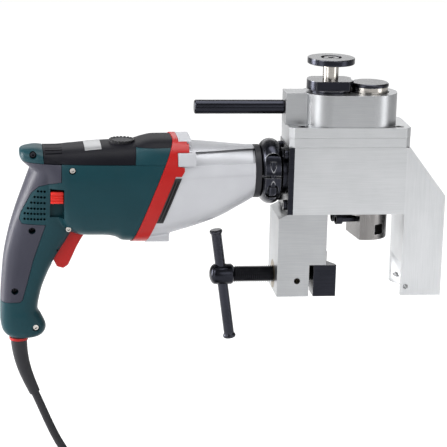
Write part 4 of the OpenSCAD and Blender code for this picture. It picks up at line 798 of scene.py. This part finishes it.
SCREW_SINK = (2.2, 2.2, 2.2, 4.6, 4.6, 2.2)
screw_points = [(x, y + sink + SCREW_HEAD, z) for (x, z, y), sink in zip(HOUSING_SCREWS, SCREW_SINK)]
housing_screws = screw_heads("housing_screw_heads", screw_points[:3], ground)
# The rear cap's screw and the two grip screws get blackened steel: painted shade of their deep recesses.
screws_in_painted_shade = screw_heads("screw_heads_in_painted_shade", screw_points[3:], blackened)

# Selector dial: ridges round its rim

dial = [Vector(c) / MM for c in nodes["selector_knob"].bound_box]
dial_r = (max(c.x for c in dial) - min(c.x for c in dial)) / 2
dial_top = max(c.z for c in dial)
RIDGES, RIDGE_R, RIDGE_IN, RIDGE_LENGTH, RIDGE_DROP = 20, 1.15, 1, 3.2, 0.9
sizes = {"Rim Radius": (dial_r - RIDGE_IN) * MM, "Ridge Radius": RIDGE_R * MM,
         "Ridge Length": RIDGE_LENGTH * MM, "Ridges": RIDGES}
tree, given = node_group("dial_ridges", sizes)
rim = add(tree, "GeometryNodeMeshCircle", Vertices=given["Ridges"], Radius=given["Rim Radius"])
ridge = add(tree, "GeometryNodeMeshCylinder", Vertices=10, Radius=given["Ridge Radius"],
            Depth=given["Ridge Length"])
spots = add(tree, "GeometryNodeInstanceOnPoints", Points=rim.outputs["Mesh"],
            Instance=ridge.outputs["Mesh"])
ridges = grown_from("dial_ridges", tree, sizes, spots.outputs[0], black)
placed(ridges, Matrix.Translation((SELECTOR_X * MM, 0, (dial_top - RIDGE_DROP) * MM)))

# Clamp screw: the core of the solid with a thread wound round it

THREAD_PITCH, THREAD_R, THREAD_DEPTH = 2.0, 8.0, 1.1
thread_x0, thread_x1 = -125.0, -53.5
sizes = {"Turns": (thread_x1 - thread_x0) / THREAD_PITCH, "Mid Radius": (THREAD_R - THREAD_DEPTH / 2) * MM,
         "Length": (thread_x1 - thread_x0) * MM, "Ridge Width": 1.8 * MM, "Crest Width": 0.35 * MM,
         "Ridge Height": THREAD_DEPTH * MM}
tree, given = node_group("thread", sizes)
spiral = add(tree, "GeometryNodeCurveSpiral", Resolution=36, Rotations=given["Turns"],
             Start_Radius=given["Mid Radius"], End_Radius=given["Mid Radius"], Height=given["Length"])
upright = add(tree, "GeometryNodeSetCurveNormal", {"mode": "Z_UP"}, Curve=spiral.outputs["Curve"])
ridge = add(tree, "GeometryNodeCurvePrimitiveQuadrilateral", {"mode": "TRAPEZOID"},
            Bottom_Width=given["Ridge Width"], Top_Width=given["Crest Width"],
            Height=given["Ridge Height"], Offset=0.0)
turned_ridge = add(tree, "GeometryNodeTransform", Geometry=ridge.outputs["Curve"],
                   Rotation=(0, 0, math.pi / 2))
wound = add(tree, "GeometryNodeCurveToMesh", Curve=upright.outputs["Curve"],
            Profile_Curve=turned_ridge.outputs[0], Fill_Caps=True)
thread = grown_from("clamp_screw_thread", tree, sizes, wound.outputs["Mesh"], blackened)
placed(thread, Matrix.Translation((thread_x0 * MM, 0, 0)) @ Matrix.Rotation(math.pi / 2, 4, "Y"))

# Bevel head and small pieces: the solids with their edges broken as on the real pieces

def merged(obj):
    """Joins the points that a copied solid has twice."""
    work = bmesh.new()
    work.from_mesh(obj.data)
    bmesh.ops.remove_doubles(work, verts=work.verts, dist=1e-6)
    work.to_mesh(obj.data)
    work.free()
    return obj


def softened(node, width_mm, material, shrink_mm=0, angle=35, segments=2):
    """Piece in place of a solid: the same shape, drawn in a little if asked, with small rounded edges."""
    obj = merged(copy_of(nodes[node], node + "_skin"))
    work = bmesh.new()
    work.from_mesh(obj.data)
    bmesh.ops.dissolve_limit(work, angle_limit=math.radians(0.4), verts=work.verts, edges=work.edges)
    work.to_mesh(obj.data)
    work.free()
    if shrink_mm:
        grown(obj, -shrink_mm)
    edges = obj.modifiers.new("edges", "BEVEL")
    edges.width = width_mm * MM
    edges.segments = segments
    edges.limit_method = "ANGLE"
    edges.angle_limit = math.radians(angle)
    edges.miter_outer = "MITER_ARC"
    applied(obj)
    obj.data.shade_smooth()
    obj.data.set_sharp_from_angle(angle=math.radians(50))
    weights = obj.modifiers.new("weights", "WEIGHTED_NORMAL")
    weights.keep_sharp = True
    return finish_piece(applied(obj), nodes[node]["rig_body"], material, [node], smooth=0)


def core_of_screw(obj):
    """Turns the threaded length of the clamp screw's copy down to the thread's root."""
    for v in merged(obj).data.vertices:
        x, r = v.co.x / MM, math.hypot(v.co.y, v.co.z) / MM
        if thread_x0 - 1 < x < thread_x1 + 1 and abs(r - THREAD_R) < 0.3:
            scale = (THREAD_R - THREAD_DEPTH) / r
            v.co.y *= scale
            v.co.z *= scale
    obj.data.update()
    return obj


finish_piece(near, "frame", green, ["near_shell"])
finish_piece(far, "frame", green, ["far_shell"])
finish_piece(grip, "frame", soft, ["grip"])
finish_piece(cover, "frame", dark_cover, ["top_cover"])
for panel in panels:
    finish_piece(panel, "frame", green)
finish_piece(band, "frame", red, ["red_band"])
finish_piece(case, "frame", cast, ["gear_case"])
finish_piece(plate, "frame", milled)
finish_piece(vents, "frame", black, ["air_vents"])
finish_piece(housing_screws, "frame", ground, ["housing_screws"])
# Black heads in the deep recesses: painted shade.
finish_piece(screws_in_painted_shade, "frame", blackened)
finish_piece(ridges, nodes["selector_knob"]["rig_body"], black)

for node in ("gear_block", "top_plate"):
    softened(node, 0.8, milled)
softened("middle_plate", 0.4, milled, shrink_mm=0.25)
# Darker copy of the milled metal: painted shade.
for node in ("feed_housing", "left_leg"):
    softened(node, 0.8, milled_painted_shade)
# Lighter copy of the milled metal: painted light.
softened("right_leg", 0.9, milled_up_painted_light)
for node in ("motor_flange", "moving_jaw", "socket_screws", "knob_screw", "side_handle", "collar_screw",
             "cutter_screws"):
    softened(node, 0.35, blackened)
# The pale edges of these pieces are partly a painted highlight.
for node in ("feed_collar", "clamp_collar", "feed_knob", "sleeve_cap", "tommy_bar"):
    softened(node, 0.45, rubbed_and_glinting_black)
for node in ("feed_sleeve", "spindle", "feed_shaft"):
    softened(node, 0.25, ground)
softened("cutter_head", 0.3, hardened)
for node in ("nose_ring", "selector_knob"):
    softened(node, 0.5, rubber)
plug = softened("plug", 0.5, rubber)
softened("trigger", 0.9, red)
# Lighter red on the slider: painted light.
softened("direction_slider", 0.9, red_painted_light)
screw = copy_of(nodes["clamp_screw"], "clamp_screw_core")
finish_piece(core_of_screw(screw), "clamp_screw", blackened, ["clamp_screw"])
finish_piece(thread, "clamp_screw", blackened)

for spare in (form, under_grip, rooms, screw_rooms, raised, case_form):
    bpy.data.objects.remove(spare)

# Cord

cord = object_from("mains_cord", tube_mesh("mains_cord", cord_path, [CORD_D / 2] * len(cord_path), 12))
finish_piece(cord, "frame", rubber, ["cord_lead", "cord_coil", "cord_tail"], smooth=60)
SLEEVE_STEPS, SLEEVE_R, SLEEVE_END_R = 40, 8.25, CORD_D / 2 + 1.2
sleeve_path = curve(SLEEVE_TOP, (0, 0, -26.5), SLEEVE_END, 22 * SLEEVE_DIR, SLEEVE_STEPS)
sleeve_r = np.linspace(SLEEVE_R, SLEEVE_END_R, SLEEVE_STEPS + 1)
sleeve = object_from("bend_sleeve", tube_mesh("bend_sleeve", sleeve_path, sleeve_r, 32))
finish_piece(sleeve, "frame", rubber, ["cord_sleeve"], smooth=60)
ring = combine(rod(2, 9.1, (-62.6, -60.2), (CORD_X, 0)), rod(2, 7.9, (-63, -60), (CORD_X, 0)), "DIFFERENCE")
ring.name = "sleeve_ring"
finish_piece(ring, "frame", red)

# Floor and light

FLOOR_HALF = 6000
floor_material, tree, shader, where = new_material("pale_floor")
tree.nodes.remove(shader)
rays = add(tree, "ShaderNodeLightPath")
glossy = add(tree, "ShaderNodeMath", {"operation": "MULTIPLY"}, i0=rays.outputs["Is Glossy Ray"], i1=0.36)
seen = add(tree, "ShaderNodeMath", {"operation": "MAXIMUM"},
           i0=rays.outputs["Is Camera Ray"], i1=glossy.outputs[0])
share = add(tree, "ShaderNodeMath", {"operation": "MULTIPLY"}, i0=seen.outputs[0], i1=0.75)
matt = add(tree, "ShaderNodeBsdfDiffuse", Color=(0.85, 0.85, 0.85, 1))
glow = add(tree, "ShaderNodeEmission", Color=(1, 1, 1, 1), Strength=1.2)
mixed = add(tree, "ShaderNodeMixShader", Fac=share.outputs[0], i1=matt.outputs[0], i2=glow.outputs[0])
tree.links.new(mixed.outputs[0], tree.nodes["Material Output"].inputs["Surface"])
corners = [(x * FLOOR_HALF, y * FLOOR_HALF, FLOOR_Z) for x, y in ((-1, -1), (1, -1), (1, 1), (-1, 1))]
floor = object_from("floor", mesh_from("floor", corners, [(0, 1, 2, 3)]))
floor.data.materials.append(floor_material)

world = bpy.data.worlds.new("studio")
scene.world = world
world.use_nodes = True
world.node_tree.nodes.clear()
rays = add(world.node_tree, "ShaderNodeLightPath")
seen = add(world.node_tree, "ShaderNodeMath", {"operation": "MAXIMUM"},
           i0=rays.outputs["Is Camera Ray"], i1=rays.outputs["Is Transmission Ray"])
way = add(world.node_tree, "ShaderNodeTexCoord")
height = add(world.node_tree, "ShaderNodeSeparateXYZ", Vector=way.outputs["Generated"])
dome = add(world.node_tree, "ShaderNodeMapRange", Value=height.outputs["Z"],
           From_Min=-0.1, From_Max=0.9, To_Min=0.14, To_Max=0.5)
level = add(world.node_tree, "ShaderNodeMath", {"operation": "MAXIMUM"},
            i0=dome.outputs["Result"], i1=seen.outputs[0])
sky = add(world.node_tree, "ShaderNodeBackground", Color=(1, 1, 1, 1), Strength=level.outputs[0])
add(world.node_tree, "ShaderNodeOutputWorld", Surface=sky.outputs[0])


def lamp(name, at, aim, size, watts):
    """Softbox at one place, aimed at another, in metres."""
    data = bpy.data.lights.new(name, "AREA")
    data.shape = "RECTANGLE"
    data.size, data.size_y = size
    data.energy = watts
    obj = bpy.data.objects.new(name, data)
    scene.collection.objects.link(obj)
    direction = (Vector(aim) - Vector(at)).to_track_quat("-Z", "Y")
    obj.matrix_world = Matrix.Translation(at) @ direction.to_matrix().to_4x4()


lamp("key", (-1.5, -0.9, 1.3), (-0.15, 0, 0.08), (1.1, 1.1), 32)
lamp("fill", (0.8, -1.9, 0.8), (-0.12, 0, 0.08), (1.5, 1.0), 13)
lamp("top", (0.0, 0.1, 1.7), (-0.12, 0, 0.08), (1.6, 0.9), 28)
lamp("side", (-1.5, 0.35, 0.3), (-0.33, 0, 0.05), (0.5, 1.2), 42)
lamp("low_left", (-1.05, -0.62, 0.12), (-0.05, 0, 0.1), (0.45, 0.7), 3.0)
lamp("low_right", (1.03, -0.69, 0.1), (0.05, 0, 0.1), (0.5, 0.7), 3.4)
lamp("back", (0.1, 1.6, 0.62), (0, 0, 0.15), (2.0, 0.5), 5)
lamp("front_right", (0.38, -0.95, 0.0), (0.28, -0.95, -0.228), (0.3, 0.3), 1.3)

scene.view_settings.view_transform = "Standard"
